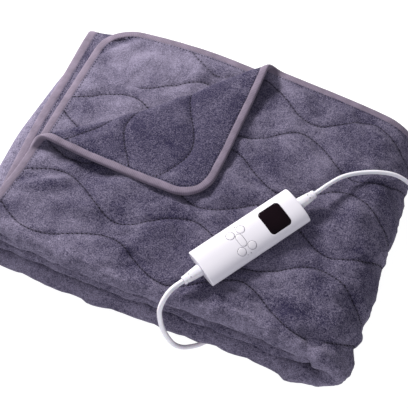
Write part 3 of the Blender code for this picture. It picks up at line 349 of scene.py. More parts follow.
def new_material(name, base, roughness, **more):
    """A material with its Principled shader set, and its tree."""
    made = bpy.data.materials.new(name)
    made.use_nodes = True
    made.diffuse_color = colour(base)
    shader = made.node_tree.nodes["Principled BSDF"]
    shader.inputs["Base Color"].default_value = colour(base)
    shader.inputs["Roughness"].default_value = roughness
    for socket, value in more.items():
        shader.inputs[socket.replace("_", " ")].default_value = value
    return made, made.node_tree, shader


def add(tree, kind, sockets=None, output=0, **settings):
    """Adds a shader node with its settings, and its sockets by name or number, linked or set.
    Gives one of its outputs."""
    node = tree.nodes.new("ShaderNode" + kind)
    for name, value in settings.items():
        setattr(node, name, value)
    for key, value in (sockets or {}).items():
        if isinstance(value, bpy.types.NodeSocket):
            tree.links.new(value, node.inputs[key])
        else:
            node.inputs[key].default_value = value
    return node.outputs[output]


def per_mm(size):
    """Noise scale of a pattern whose features are so many millimetres across."""
    return 1000.0 / size


def noise(tree, place, size, detail, roughness=0.5, distortion=0.0):
    """Noise whose features are so many millimetres across."""
    return add(tree, "TexNoise", {"Vector": place, "Scale": per_mm(size), "Detail": detail,
                                  "Roughness": roughness, "Distortion": distortion})


def two_tone(tree, shader, share, low, high):
    """Base colour between two, by a share."""
    mixed = add(tree, "Mix", {0: share, 6: low, 7: high}, 2, data_type="RGBA")
    tree.links.new(mixed, shader.inputs["Base Color"])


def uneven(tree, shader, height, strength, distance):
    """A bump in the surface: how strong, and how deep in metres."""
    bump = add(tree, "Bump", {"Strength": strength, "Distance": distance, "Height": height})
    tree.links.new(bump, shader.inputs["Normal"])


def darker(base, share):
    """A colour code times a share."""
    return (*(part * share for part in colour(base)[:3]), 1.0)


def plush_material():
    """Polyester double plush, knitted and brushed: the short nap lies in patches that look lighter or darker,
    is grainy close by, and glows softly at grazing angles. The nap attribute also carries painted highlights
    and painted shade, and the seam attribute painted shade in the stitched grooves."""
    made, tree, shader = new_material("brushed_plush", "#5f5a72", 0.95, Sheen_Weight=0.22,
                                      Sheen_Roughness=0.4, Sheen_Tint=colour("#d3cce2"),
                                      Specular_IOR_Level=0.1)
    spot = add(tree, "TexCoord", output="Object")
    lean = add(tree, "Mapping", {0: spot, 2: (0, 0, 0.6), 3: (1.0, 2.2, 1.4)})
    patches = noise(tree, spot, 38, 4.0, 0.6, 0.9)
    strokes = noise(tree, lean, 12, 4.0, 0.65, 1.6)
    clumps = noise(tree, spot, 4.5, 3.0, 0.7, 0.8)
    grain = noise(tree, spot, 1.3, 2.0, 0.8)
    # nap: the nap's own lighter and darker patches together with painted highlights and painted shade; seam:
    # painted shade in the stitched grooves.
    nap, seam, mottle = (add(tree, "Attribute", output="Fac", attribute_name=name)
                         for name in ("nap", "seam", "mottle"))
    shade = nap
    # Each noise with its share in smooth and in crushed pile.
    for layer, smooth, crushed in ((patches, 0.75, 0.75), (strokes, 0.4, 0.6), (clumps, 0.35, 1.1),
                                   (grain, 2.2, 2.6)):
        centred = add(tree, "Math", {0: layer, 1: 0.5}, operation="SUBTRACT")
        share = add(tree, "Math", {0: mottle, 1: crushed - smooth, 2: smooth}, operation="MULTIPLY_ADD")
        shade = add(tree, "Math", {0: centred, 1: share, 2: shade}, operation="MULTIPLY_ADD")
    fur = add(tree, "Mix", {0: shade, 6: colour("#292540"), 7: colour("#8f889f")}, 2, data_type="RGBA")
    # Painted shade in the seams' stitched grooves: the fur darkened towards deep violet along the seam
    # attribute.
    sunk = add(tree, "Math", {0: seam, 1: 0.6}, operation="MULTIPLY")
    two_tone(tree, shader, sunk, fur, colour("#24202f"))
    pile = add(tree, "Math", {0: clumps, 1: 1.4, 2: grain}, operation="MULTIPLY_ADD")
    uneven(tree, shader, pile, 0.9, 1.5 * MM)
    return made


def tape_material():
    """Knitted polyester tape: fine ribs across it, matt with a faint sheen."""
    made, tree, shader = new_material("knitted_tape", "#8d8190", 0.8, Sheen_Weight=0.25,
                                      Sheen_Roughness=0.45, Sheen_Tint=colour("#e6dbe4"),
                                      Specular_IOR_Level=0.2)
    along_tape, spot = (add(tree, "TexCoord", output=name) for name in ("UV", "Object"))
    # The texture's bands are 2 pi / 20 of its unit apart, so these ribs are 2 mm apart: coarser
    # than the real tape's, so that they show.
    ribs = add(tree, "TexWave", {"Vector": along_tape, "Scale": per_mm(1.0) / (2 * math.pi),
                                 "Distortion": 0.6, "Detail": 1.0}, 1, bands_direction="X")
    wear = noise(tree, spot, 14, 4.0)
    fuzz = noise(tree, spot, 0.9, 2.0)
    tone = add(tree, "Math", {0: ribs, 1: 0.25, 2: wear}, operation="MULTIPLY_ADD")
    tone = add(tree, "Math", {0: fuzz, 1: 0.5, 2: tone}, operation="MULTIPLY_ADD")
    share = add(tree, "MapRange", {0: tone, 1: 0.4, 2: 1.25})
    two_tone(tree, shader, share, colour("#564e5c"), colour("#85798c"))
    height = add(tree, "Math", {0: ribs, 1: 0.6, 2: fuzz}, operation="MULTIPLY_ADD")
    uneven(tree, shader, height, 0.4, 0.35 * MM)
    return made


def thread_material(name, base):
    """Spun polyester sewing thread, matt, a little uneven in tone."""
    made, tree, shader = new_material(name, base, 0.8, Specular_IOR_Level=0.2)
    spot = add(tree, "TexCoord", output="Object")
    two_tone(tree, shader, noise(tree, spot, 6, 2.0), darker(base, 0.6), colour(base))
    return made


def moulded_material(name, base, roughness, texture, depth, **more):
    """Injection-moulded plastic: an even colour over fine spark-eroded texture, so that its
    gloss is soft and slightly broken. texture: its grain in mm; depth: its depth in mm."""
    made, tree, shader = new_material(name, base, roughness, **more)
    spot = add(tree, "TexCoord", output="Object")
    flow = noise(tree, spot, 30, 2.0)
    rough = add(tree, "MapRange", {0: flow, 3: roughness - 0.05, 4: roughness + 0.07})
    tree.links.new(rough, shader.inputs["Roughness"])
    two_tone(tree, shader, flow, darker(base, 0.93), colour(base))
    uneven(tree, shader, noise(tree, spot, texture, 3.0), 0.3, depth * MM)
    return made


def display_material():
    """Smoked acrylic with a hard gloss over a dark display with a faint tint of red."""
    made, tree, shader = new_material("smoked_acrylic", "#0b080c", 0.08, IOR=1.49, Specular_IOR_Level=0.1)
    spot = add(tree, "TexCoord", output="Object")
    two_tone(tree, shader, noise(tree, spot, 22, 1.0), colour("#08050a"), colour("#180c12"))
    return made


def nickel_material():
    """Nickel-plated brass pins: bright, with faint draw marks and handling haze."""
    made, tree, shader = new_material("nickel_plate", "#c9c4ba", 0.22, Metallic=1.0)
    marks = add(tree, "Mapping", {0: add(tree, "TexCoord", output="Object"), 3: (6.0, 1.0, 6.0)})
    rough = add(tree, "MapRange", {0: noise(tree, marks, 1.5, 2.0), 3: 0.14, 4: 0.34})
    tree.links.new(rough, shader.inputs["Roughness"])
    return made


def floor_material():
    """A plain pale studio floor, matt and lit through, so that only contact shadows show."""
    made, tree, shader = new_material("studio_floor", "#8d8d90", 0.9, Specular_IOR_Level=0.0,
                                      Emission_Color=colour("#ffffff"), Emission_Strength=0.93)
    spot = add(tree, "TexCoord", output="Object")
    two_tone(tree, shader, noise(tree, spot, 400, 2.0), colour("#8a8a8d"), colour("#909093"))
    return made


# ---- mesh helpers ----------------------------------------------------------------------------
def grid_faces(rows, columns, wrap_rows=False, wrap_columns=False):
    """Quads of a grid of points that are numbered row by row."""
    index = np.arange(rows * columns).reshape(rows, columns)
    if wrap_rows:
        index = np.vstack([index, index[:1]])
    if wrap_columns:
        index = np.hstack([index, index[:, :1]])
    corners = (index[:-1, :-1], index[:-1, 1:], index[1:, 1:], index[1:, :-1])
    return np.stack(corners, -1).reshape(-1, 4)


def faces_outwards(mesh):
    """Whether the faces of a closed mesh point outwards, by the sign of its volume."""
    count = len(mesh.polygons)
    centres, normals, areas = np.zeros(count * 3), np.zeros(count * 3), np.zeros(count)
    mesh.polygons.foreach_get("center", centres)
    mesh.polygons.foreach_get("normal", normals)
    mesh.polygons.foreach_get("area", areas)
    centres = centres.reshape(-1, 3)
    return np.sum(areas[:, None] * (centres - centres.mean(axis=0)) * normals.reshape(-1, 3)) > 0


def new_piece(name, points, faces, look, body=BLANKET, uv=None, values=None, sharp=None):
    """A smooth mesh piece from points and faces, turned outwards, riding on a body.

    uv: a coordinate pair for each point; values: attributes by name; sharp: angle in degrees
    over which an edge stays hard.
    """
    points = np.asarray(points, float).reshape(-1, 3)
    mesh = bpy.data.meshes.new(name)
    mesh.from_pydata(points.tolist(), [], [list(map(int, face)) for face in faces])
    if not faces_outwards(mesh):
        mesh.flip_normals()
    mesh.shade_smooth()
    if sharp is not None:
        mesh.set_sharp_from_angle(angle=math.radians(sharp))
    for key, numbers in (values or {}).items():
        held = mesh.attributes.new(key, "FLOAT", "POINT").data
        held.foreach_set("value", np.ravel(numbers).astype(np.float32))
    if uv is not None:
        owners = np.zeros(len(mesh.loops), np.int32)
        mesh.loops.foreach_get("vertex_index", owners)
        layer = mesh.uv_layers.new(name="UVMap")
        layer.data.foreach_set("uv", np.asarray(uv, np.float32).reshape(-1, 2)[owners].ravel())
    return dress(bpy.data.objects.new(name, mesh), look, body)


def dress(thing, look, body):
    """Links a piece, gives it its material, and lets it ride."""
    thing.data.materials.clear()
    thing.data.materials.append(look)
    bpy.context.scene.collection.objects.link(thing)
    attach(thing, body)
    return thing


def tube_of_rings(rings):
    """Points and faces of a tube of rings with flat ends."""
    rings = np.asarray(rings, float)
    count, around = rings.shape[:2]
    faces = grid_faces(count, around, wrap_columns=True).tolist()
    faces.append(list(range(around))[::-1])
    faces.append([(count - 1) * around + at for at in range(around)])
    return rings.reshape(-1, 3), faces


def superellipse(count, power):
    """Points round a superellipse of half sizes 1 and 1: cosine and sine, each to a power."""
    turn = np.linspace(0, 2 * math.pi, count, endpoint=False)
    return tuple(np.sign(wave) * np.abs(wave) ** power for wave in (np.cos(turn), np.sin(turn)))


# ---- folding ---------------------------------------------------------------------------------
def follow(stretches, start, heading, travelled):
    """Place and heading after so much travel along straight stretches and round turns."""
    travelled = np.asarray(travelled, float)
    place = np.zeros(travelled.shape + (2,))
    angle = np.zeros(travelled.shape)
    origin, begun = np.array(start, float), 0.0
    for index, (length, turn) in enumerate(stretches):
        here = (travelled >= begun) | (index == 0)
        along = travelled - begun
        bend = turn / length
        turned = heading + bend * along
        if turn:
            step = np.stack([np.sin(turned) - math.sin(heading),
                             math.cos(heading) - np.cos(turned)], -1) / bend
            end_step = np.array([math.sin(heading + turn) - math.sin(heading),
                                 math.cos(heading) - math.cos(heading + turn)]) / bend
        else:
            way = np.array([math.cos(heading), math.sin(heading)])
            step, end_step = along[..., None] * way, length * way
        place[here] = (origin + step)[here]
        angle[here] = turned[here]
        origin, heading, begun = origin + end_step, heading + turn, begun + length
    return place, angle


def waves(u, v, size, seed, count=14):
    """A smooth uneven field about 0: a sum of plane waves of about one size, in seeded
    directions and phases, with a spread of about 1."""
    pick = np.random.default_rng(seed)
    total = np.zeros(np.broadcast(u, v).shape)
    for _ in range(count):
        angle, phase, stretch = pick.uniform(0, math.pi), pick.uniform(0, 2 * math.pi), pick.uniform(0.7, 1.5)
        reach = 2 * math.pi / (size * stretch)
        total += np.cos(reach * (u * math.cos(angle) + v * math.sin(angle)) + phase)
    return total / math.sqrt(count / 2)


def past_fold(x, y):
    """How far a point of the flat top cloth lies past the line where its corner rolls over."""
    return (y - x - CORNER_FOLD) / math.sqrt(2)


def top_cloth(x, y, above):
    """The top cloth with its corner rolled over a bend that is wider at its two ends, and
    then settling on the cloth below. above: height over the cloth's middle."""
    past, along = past_fold(x, y), (x + y) / math.sqrt(2)
    share = np.clip(np.abs(along - FOLD_MIDDLE) / FLAP_DEPTH, 0, 1)
    radius = BEND_MIDDLE + (BEND_ENDS - BEND_MIDDLE) * share ** 3
    start = BEND_ENDS - radius
    turn = np.clip((past - start) / radius, 0, math.pi)
    run = np.maximum(past - start - math.pi * radius, 0)
    across = np.where(past < start, past, start + (radius - above) * np.sin(turn) - run)
    settled = (2 * radius - FLAP_REST) * (1 - bell(run, FLAP_SETTLE))
    height = np.where(past < start, above, radius - (radius - above) * np.cos(turn) - settled)
    lift = (1 + waves(x, y, 75 * MM, 5, 8) / 2).clip(0, 2)
    height = height + FLAP_LIFT * np.clip(run / (40 * MM), 0, 1) * lift
    middle = HEIGHT - CLOTH_PITCH / 2 - UNDER_GAP
    root = math.sqrt(2)
    return np.stack([(along - across - CORNER_FOLD / root) / root,
                     (along + across + CORNER_FOLD / root) / root, middle + height], -1)


def cloth_point(length, width, above):
    """A point of the folded cloth, settled. length and width are where it is on the flat
    cloth, and above is its height over the cloth's middle, on the side that shows on top."""
    length, width, above = np.broadcast_arrays(*(np.asarray(v, float) for v in (length, width, above)))
    section, lean = follow(CROSSWISE, (BACK_END, 1.5 * CLOTH_PITCH), math.pi, width)
    track, heading = follow(LENGTHWISE, (LEFT_END, 3.5 * PASS_PITCH - UNDER_GAP), 0.0, length)
    y = section[..., 0] + above * np.sin(lean)
    up = section[..., 1] - above * np.cos(lean)
    place = np.stack([track[..., 0] - up * np.sin(heading), y, track[..., 1] + up * np.cos(heading)], -1)
    middles = track[..., 1] + section[..., 1] * np.cos(heading)
    on_top = (width < WIDTH_ENDS[1]) & (length < LENGTH_ENDS[1])
    turned = top_cloth(track[..., 0], section[..., 0], above)
    place = np.where(on_top[..., None], turned, place)
    middles = np.where(on_top, turned[..., 2], middles)
    return settle(place.reshape(-1, 3), middles.ravel()).reshape(place.shape)


def table(rows, column, at):
    """A column of a table read at some places, in metres."""
    rows = np.array(rows, float)
    return np.interp(at, rows[:, 0] * MM, rows[:, column])


def knot_shifts():
    """How far each knot of the pile's three-way grid moves, from the tables at the top: the
    front is set back, parted and lowered, the ends creep out, and the back is set back."""
    x, y, z = np.meshgrid(KNOT_X, KNOT_Y, KNOT_Z, indexing="ij")
    columns = np.array([table(PILE_HEIGHT, column, KNOT_X) for column in range(1, 6)])
    share = np.array([np.interp(KNOT_Y, KNOT_Y[1:6], column) for column in columns.T])[:, :, None]
    near_front = np.interp(y, KNOT_Y[1:4], [1.0, 0.30, 0.0])
    near_back = np.interp(y, KNOT_Y[3:6], [0.0, 0.30, 1.0])
    level = z / HEIGHT
    settled, setback = np.zeros(z.shape), np.zeros(z.shape)
    middles = HEIGHT * (np.arange(4) + 0.5) / 4
    for at, place in enumerate(KNOT_X):
        marks = [0.0, *(table(FRONT_PARTINGS, column, place) for column in (1, 2, 3)), 1.0]
        settled[at] = np.interp(level[at], [0.0, 0.25, 0.5, 0.75, 1.0], marks)
        setback[at] = np.interp(z[at], middles, [table(FRONT_SETBACK, 4 - c, place) for c in range(4)]) * MM
    near_left = np.interp(x, KNOT_X[1:4], [1.0, 0.45, 0.0])
    near_right = np.interp(x, KNOT_X[5:8], [0.0, 0.3, 1.0])
    over, under, below = (table(LEFT_CREEP, column, y) for column in (1, 2, 3))
    up = np.clip((z - FOLDS_HIGH) / (PASS_LOW - FOLDS_HIGH), 0, 1)
    creep = (below + (under - below) * up) * np.clip(0.1 + z / FOLDS_LOW, 0, 1)
    creep = np.where(z > CLOTH_C_TOP, over, creep) * MM
    move_x = -near_left * creep - near_right * table(RIGHT_DRAW, 1, y) * MM
    tuck = BACK_TUCK * (z < CLOTH_C_TOP) * np.interp(x, KNOT_X[1:3], [1.0, 0.0])
    back = (z > CLOTH_C_TOP) * table(SECOND_BACK, 1, x) * MM
    move_y = near_front * setback - near_back * (table(BACK_SETBACK, 1, x) * MM + tuck - back)
    move_z = (level + (settled - level) * near_front) * HEIGHT * share - z
    return np.stack([move_x, move_y, move_z], -1)


def smoothed(values, knots, fine, axis):
    """Values at knots along an axis, read at finer places on a smooth curve: each piece is a
    cubic whose end slopes are those between the knots on either side."""
    values = np.moveaxis(values, axis, 0)
    slopes = np.gradient(values, knots, axis=0)
    cell = np.clip(np.searchsorted(knots, fine, side="right") - 1, 0, len(knots) - 2)
    span = knots[cell + 1] - knots[cell]
    shape = (-1,) + (1,) * (values.ndim - 1)
    t, span = ((fine - knots[cell]) / span).reshape(shape), span.reshape(shape)
    made = (values[cell] * (2 * t ** 3 - 3 * t ** 2 + 1) + slopes[cell] * span * (t ** 3 - 2 * t ** 2 + t)
            + values[cell + 1] * (3 * t ** 2 - 2 * t ** 3) + slopes[cell + 1] * span * (t ** 3 - t ** 2))
    return np.moveaxis(made, 0, axis)


FINE_X = np.linspace(KNOT_X[0], KNOT_X[-1], 64)
FINE_Y = np.linspace(KNOT_Y[0], KNOT_Y[-1], 48)
SHIFTS = smoothed(smoothed(knot_shifts(), KNOT_X, FINE_X, 0), KNOT_Y, FINE_Y, 1)


def knot_shift(x, y, z):
    """How far places move: the shifts of the eight knots round each, by its share of each."""
    cells, shares = [], []
    for places, knots in ((x, FINE_X), (y, FINE_Y), (z, KNOT_Z)):
        held = np.clip(places, knots[0], knots[-1])
        cell = np.clip(np.searchsorted(knots, held, side="right") - 1, 0, len(knots) - 2)
        cells.append(cell)
        shares.append(((held - knots[cell]) / (knots[cell + 1] - knots[cell]))[:, None])
    moved = np.zeros((len(x), 3))
    for corner in range(8):
        ends = [(corner >> axis) & 1 for axis in range(3)]
        weight = np.ones((len(x), 1))
        for axis in range(3):
            weight = weight * (shares[axis] if ends[axis] else 1 - shares[axis])
        moved += weight * SHIFTS[cells[0] + ends[0], cells[1] + ends[1], cells[2] + ends[2]]
    return moved


def settle(points, middles):
    """Settles the points of the neatly folded pile. middles: the height of the cloth's middle
    at each, which alone says how far it moves sideways, so that tape and cloth aren't sheared.
    What would sink into the floor is pressed flat on it."""
    x, y, z = points.T
    moved = points + np.column_stack([knot_shift(x, y, middles)[:, :2], knot_shift(x, y, z)[:, 2:]])
    low = moved[:, 2] / FLOOR_SOFT - 1
    moved[:, 2] = np.where(low < 0, FLOOR_SOFT * np.exp(np.minimum(low, 0)), moved[:, 2])
    return moved


# ---- quilting, creases and nap ---------------------------------------------------------------
def seam_line(seam, x):
    """y of a seam over x."""
    middle, side, crest = seam
    return middle + side * SEAM_SWING * np.cos(2 * math.pi * (x - crest) / SEAM_WAVE)


def seam_distance(seams, x, y):
    """Distance from a point to the nearest of the wavy seams, measured square to it."""
    nearest = np.full(np.broadcast(x, y).shape, 1.0)
    for seam in seams:
        slope = SEAM_SWING * 2 * math.pi / SEAM_WAVE * np.sin(2 * math.pi * (x - seam[2]) / SEAM_WAVE)
        nearest = np.minimum(nearest, np.abs(y - seam_line(seam, x)) / np.sqrt(1 + slope ** 2))
    return nearest


def quilted(distance):
    """Depth of the quilting: a broad pull-in about each seam, a narrow stitched groove, and a
    low crown between the seams."""
    return (1.8 * MM * bell(distance, 8 * MM) + 0.7 * MM * bell(distance, 1.8 * MM)
            - 1.0 * MM * (1 - bell(distance, 17 * MM)) * (distance < 0.5))


def creased(creases, x, y):
    """Height of soft creases: along each one a ridge or trough that fades to its sides as a
    bell curve and to its ends as a half circle."""
    rise = np.zeros(np.broadcast(x, y).shape)
    for x0, y0, x1, y1, height, half in creases:
        sx, sy = (x1 - x0) * MM, (y1 - y0) * MM
        share = ((x - x0 * MM) * sx + (y - y0 * MM) * sy) / (sx * sx + sy * sy)
        held = np.clip(share, 0.08, 0.92)
        away = np.hypot(x - x0 * MM - held * sx, y - y0 * MM - held * sy)
        rise += height * MM * bell(away, half * MM)
    return rise


def bell(away, half):
    """1 in the middle and falling off as a bell curve: e to the minus (away / half) squared."""
    return np.exp(-(away / half) ** 2)


def ease(value, low, high):
    """0 below low, 1 above high, and a smooth S between."""
    share = np.clip((value - low) / (high - low), 0, 1)
    return share * share * (3 - 2 * share)


# ---- the cloth -------------------------------------------------------------------------------
def spaced(start, end, count):
    """count places over a stretch, its start included and its end not."""
    return np.linspace(start, end, count, endpoint=False)


def pad_shares(count):
    """Shares across a quilted pad, closer together next to its seams: mostly half a cosine."""
    u = spaced(0, 1, count)
    return 0.75 * (1 - np.cos(math.pi * u)) / 2 + 0.25 * u


def pad_rows(marks, count):
    """Rows across the pads between marks. marks: one row of places for each station."""
    starts, ends = marks[:, :-1, None], marks[:, 1:, None]
    return (starts + (ends - starts) * pad_shares(count)).reshape(len(marks), -1)


def near_turns(start, end):
    """Rows along a run that is mostly hidden: closer together next to its two turns."""
    inset = np.array([0.0, 4.0, 10.0, 20.0, 40.0]) * MM
    return np.concatenate([start + inset, [(start + end) / 2], end - inset[:0:-1]])


def cloth_rows(lengths):
    """Widths of the rows of points round the cloth, a line for each station, with how each
    side is counted: outer side from the back edge on, then the inner side the other way."""
    x = LEFT_END + lengths

    def same(rows):
        return np.repeat(np.asarray(rows, float)[None], len(x), 0)

    def marked(start, seams, at, end):
        """y of the rows that bound the pads: a straight one, the seams and a straight one."""
        between = [seam_line(seam, at) for seam in seams]
        return np.stack([np.full(len(x), start), *between, np.full(len(x), end)], 1)

    top = BACK_END - marked(BACK_END, TOP_SEAMS, x, FRONT_TURN)
    second = marked(SECOND_BACK_END, SECOND_SEAMS[1:], np.minimum(x, SECOND_HIDDEN_FROM), SECOND_PADS_TO)
    second = WIDTH_ENDS[6] + second - INNER_FRONT_TURN
    flap = BACK_END - marked(FLAP_PADS_FROM, FLAP_SEAMS[::-1], x, BACK_END)
    e = WIDTH_ENDS
    outer = [pad_rows(top, TOP_ROWS), same(spaced(e[1], e[2], 14)), same(near_turns(e[2], e[3])),
             same(spaced(e[3], e[4], 7)), same(spaced(e[4], e[5], 20)), same(spaced(e[5], e[6], 6)),
             same(near_turns(e[6], e[7])), same([e[7]])]
    inner = [pad_rows(second, SECOND_ROWS), same(near_turns(e[6], second[0, -1])[::-1]),
             same(spaced(e[6], e[5], 6)), same(near_turns(e[4], e[5])[::-1]), same(spaced(e[4], e[3], 7)),
             same(near_turns(e[2], e[3])[::-1]), same(spaced(e[2], e[1], 10)),
             same(spaced(e[1], e[1] - 40 * MM, 3)), pad_rows(flap, UNDER_ROWS), flap[:, -1:]]
    outer, inner = np.concatenate(outer, 1), np.concatenate(inner, 1)
    inner[:, 0] = e[7]
    return outer, inner


TOP_ROWS, SECOND_ROWS, UNDER_ROWS = 20, 14, 15      # rows in a pad
SECOND_HIDDEN_FROM = 30 * MM                        # x from which the second cloth's rows run straight
SECOND_PADS_TO, FLAP_PADS_FROM = -80 * MM, -40 * MM     # y where their finely divided pads end


def cloth_stations():
    """Lengths of the stations along the cloth, and from which one on they are coarse."""
    rounding = CORNER_ROUND * (1 - np.cos(np.linspace(0, math.pi / 2, 10)))
    e = LENGTH_ENDS
    fine = [rounding[:-1], spaced(CORNER_ROUND, e[1], 128), spaced(e[1], e[2], 32)]
    coarse = [spaced(e[2], e[3], 52), spaced(e[3], e[4], 9), spaced(e[4], e[5], 44), spaced(e[5], e[6], 9),
              spaced(e[6], e[7] - CORNER_ROUND, 36), (e[7] - rounding)[::-1]]
    return np.concatenate(fine + coarse), sum(len(part) for part in fine) + 2


def trimmed(widths, lengths):
    """Draws the rows in where the cloth's corners are rounded, less and less up to a reach."""
    reach = 90 * MM
    inside = np.minimum(lengths, CLOTH_LENGTH - lengths)
    short = np.maximum(CORNER_ROUND - inside, 0)
    trim = (CORNER_ROUND - np.sqrt(np.maximum(CORNER_ROUND ** 2 - short ** 2, 0)))[:, None]
    return (widths + trim * np.maximum(0, 1 - widths / reach)
            - trim * np.maximum(0, 1 - (CLOTH_WIDTH - widths) / reach))


def patched(patches, x, y):
    """Lighter and darker patches where the nap lies differently: soft ellipses."""
    change = np.zeros(np.broadcast(x, y).shape)
    for px, py, half_x, half_y, turn, amount in patches:
        cos, sin = math.cos(math.radians(turn)), math.sin(math.radians(turn))
        u = ((x - px * MM) * cos + (y - py * MM) * sin) / (half_x * MM)
        v = ((y - py * MM) * cos - (x - px * MM) * sin) / (half_y * MM)
        change += amount * np.exp(-(u * u + v * v) ** 1.5)
    return change


def rim_fade(length, width):
    """0 under the tape at the cloth's rim, rising to 1 a little way in."""
    rim = np.minimum(np.minimum(length, CLOTH_LENGTH - length), np.minimum(width, CLOTH_WIDTH - width))
    return ease(rim, 1 * MM, 13 * MM)


def seam_shown(x, y, on_second):
    """1 where a seam shows; on the second cloth the nap hides the start of its middle seam."""
    hidden = on_second * (np.abs(y - SECOND_SEAMS[1][0]) < 26 * MM) * (x < HIDDEN_TO)
    return np.where(hidden > 0, 0.0, 1.0)


CREASING = 1.4              # times the heights in the tables of creases
SEAM_SHADE_HALF_WIDTH = 1.0 * MM        # half width of the painted shade along a seam's stitched groove


def outer_relief(length, width):
    """What the cloth's outer side adds to its half thickness, and its seam, nap and mottle. The seam is
    painted shade in the stitched grooves; the nap carries painted highlights and shade besides the nap's own
    patches.
    """
    x, y = LEFT_END + length, BACK_END - width
    shown = (length < LENGTH_ENDS[2]) & (width < WIDTH_ENDS[1] + 4 * MM)
    distance = np.where(shown, seam_distance(TOP_SEAMS, x, y), 1.0)
    flat_top = ease(-past_fold(x, y), -2 * MM, 14 * MM)
    flat_top = flat_top * ease(-length, -LENGTH_ENDS[1] - 30 * MM, -LENGTH_ENDS[1])
    rise = flat_top * shown * (CREASING * creased(TOP_CREASES, x, y) + 1.1 * MM * waves(x, y, 52 * MM, 1)
                               + 0.5 * MM * waves(x, y * 1.4, 22 * MM, 2))
    nose = ease(width, WIDTH_ENDS[1] - 24 * MM, WIDTH_ENDS[1] + 4 * MM) * (width < WIDTH_ENDS[2] + 30 * MM)
    nose = nose * ease(-width, -WIDTH_ENDS[2] - 26 * MM, -WIDTH_ENDS[2])
    rise += nose * (1.0 * MM * waves(length, width * 0.5, 36 * MM, 3)
                    + 0.35 * MM * waves(length, width, 11 * MM, 4))
    corner = nose * bell(length - LENGTH_ENDS[1] - 18 * MM, 52 * MM)
    rise += corner * 1.2 * MM * waves(length, width * 0.2, 21 * MM, 31)
    side = ease(length, LENGTH_ENDS[1], LENGTH_ENDS[1] + 12 * MM) * (length < LENGTH_ENDS[2] + 20 * MM)
    rise += side * (1.2 * MM * waves(length * 0.7, width, 30 * MM, 6)
                    + 0.5 * MM * waves(length, width, 12 * MM, 7))
    back = bell(width - (WIDTH_ENDS[3] + WIDTH_ENDS[4]) / 2, 14 * MM)
    rise += back * 0.45 * MM * waves(length, width, 26 * MM, 8)
    # Lighter towards the left end and a little lighter on the noses: painted light on the left end and on the
    # front noses.
    nap = np.interp(x, [-0.2, -0.12, -0.03, 0.08, 0.18], [0.42, 0.36, 0.29, 0.32, 0.31])
    nap = np.where(shown, nap + patched(TOP_NAP, x, y), 0.36) + 0.05 * waves(x, y, 60 * MM, 9) + 0.06 * nose
    # A painted highlight along the upper rim of each pass's nose, which lies at the nose's other side where
    # the pass is upside down.
    upside_down = ((length > LENGTH_ENDS[2]) & (length < LENGTH_ENDS[4] - SMALL_TURN / 2)
                   | (length > LENGTH_ENDS[6] - SMALL_TURN / 2))
    nose_highlight_width = np.where(upside_down, WIDTH_ENDS[2] - 8 * MM, WIDTH_ENDS[1] + 8 * MM)
    nap += 0.18 * bell(width - nose_highlight_width, 5 * MM)
    # A painted highlight on the left-hand turn, where the key light falls.
    left_turn_highlight = bell(length - (LENGTH_ENDS[3] + LENGTH_ENDS[4]) / 2, 30 * MM)
    nap += 0.36 * left_turn_highlight
    # Painted light on the puffed pads beside each seam, and painted shade in its pull-in.
    nap += 0.07 * bell(distance, 14 * MM) - 0.08 * bell(distance, 5 * MM)
    mottle = np.maximum(np.maximum(0.7 * nose, side), patched(TOP_CRUSHED, x, y) * shown)
    mottle = np.where(length > LENGTH_ENDS[2], 1.0, mottle.clip(0, 1))
    inside = rim_fade(length, width)
    return inside * (rise - quilted(distance)), bell(distance, SEAM_SHADE_HALF_WIDTH), nap, mottle


def inner_relief(length, width):
    """The same for its inner side: the second cloth beside the corner, and the turned corner."""
    x = LEFT_END + length
    second_y = INNER_FRONT_TURN + width - WIDTH_ENDS[6]
    on_second = (width > WIDTH_ENDS[6]) & (length < LENGTH_ENDS[1])
    bare = on_second * ease(past_fold(x, second_y), -30 * MM, -6 * MM)
    y = BACK_END - width
    past = past_fold(x, y)
    flap = (width < WIDTH_ENDS[1]) & (length < LENGTH_ENDS[1]) & (past > 0)
    distance = np.where(on_second & (bare > 0), seam_distance(SECOND_SEAMS, x, second_y), 1.0)
    distance = np.where(flap, seam_distance(FLAP_SEAMS, x, y), distance)
    rise = bare * (CREASING * creased(SECOND_CREASES, x, second_y)
                   + 0.9 * MM * waves(x, second_y, 36 * MM, 11) + 0.3 * MM * waves(x, second_y, 15 * MM, 15))
    rise += flap * ease(past, 10 * MM, 40 * MM) * (
        creased(FLAP_CREASES, x, y) + 0.5 * MM * waves(x, y, 48 * MM, 12)
        + 0.25 * MM * waves(x, y, 18 * MM, 13))
    roll_highlight = bell(past - 13 * MM, 2.5 * MM)    # painted highlight along the roll's crest
    nap = np.where(flap, 0.16 + 0.2 * roll_highlight, 0.3) + bare * (0.24 + patched(SECOND_NAP, x, second_y))
    nap = nap + 0.03 * waves(x, y, 60 * MM, 14)
    fade = np.where(flap, ease(past, 0.0, 12 * MM), bare)
    # Painted light on the puffed pads beside each seam, and painted shade in its pull-in.
    nap += fade * (0.05 * bell(distance, 13 * MM) - 0.06 * bell(distance, 5 * MM))
    # Painted shade in the stitched groove of each seam that shows.
    seam = fade * bell(distance, SEAM_SHADE_HALF_WIDTH) * seam_shown(x, second_y, on_second)
    return rim_fade(length, width) * (rise - fade * quilted(distance)), seam, nap, 0.15 * bare


def end_cap(outer, inner, offset, steps):
    """Polygons that close a free end of the cloth, each across its thickness between a few
    rows of the outer side and the rows of the inner side that face them."""
    marks = np.linspace(max(outer[0], inner[-1]), min(outer[-1], inner[0]), steps + 1)
    on_outer = [int(np.argmin(np.abs(outer - mark))) for mark in marks]
    on_inner = [int(np.argmin(np.abs(inner - mark))) for mark in marks]
    on_outer[0], on_outer[-1], on_inner[0], on_inner[-1] = 0, len(outer) - 1, len(inner) - 1, 0
    faces = []
    for a, b, c, d in zip(on_outer, on_outer[1:], on_inner, on_inner[1:]):
        if b > a or c > d:
            faces.append([offset + at for at in range(a, b + 1)]
                         + [offset + len(outer) + at for at in range(d, c + 1)])
    return faces


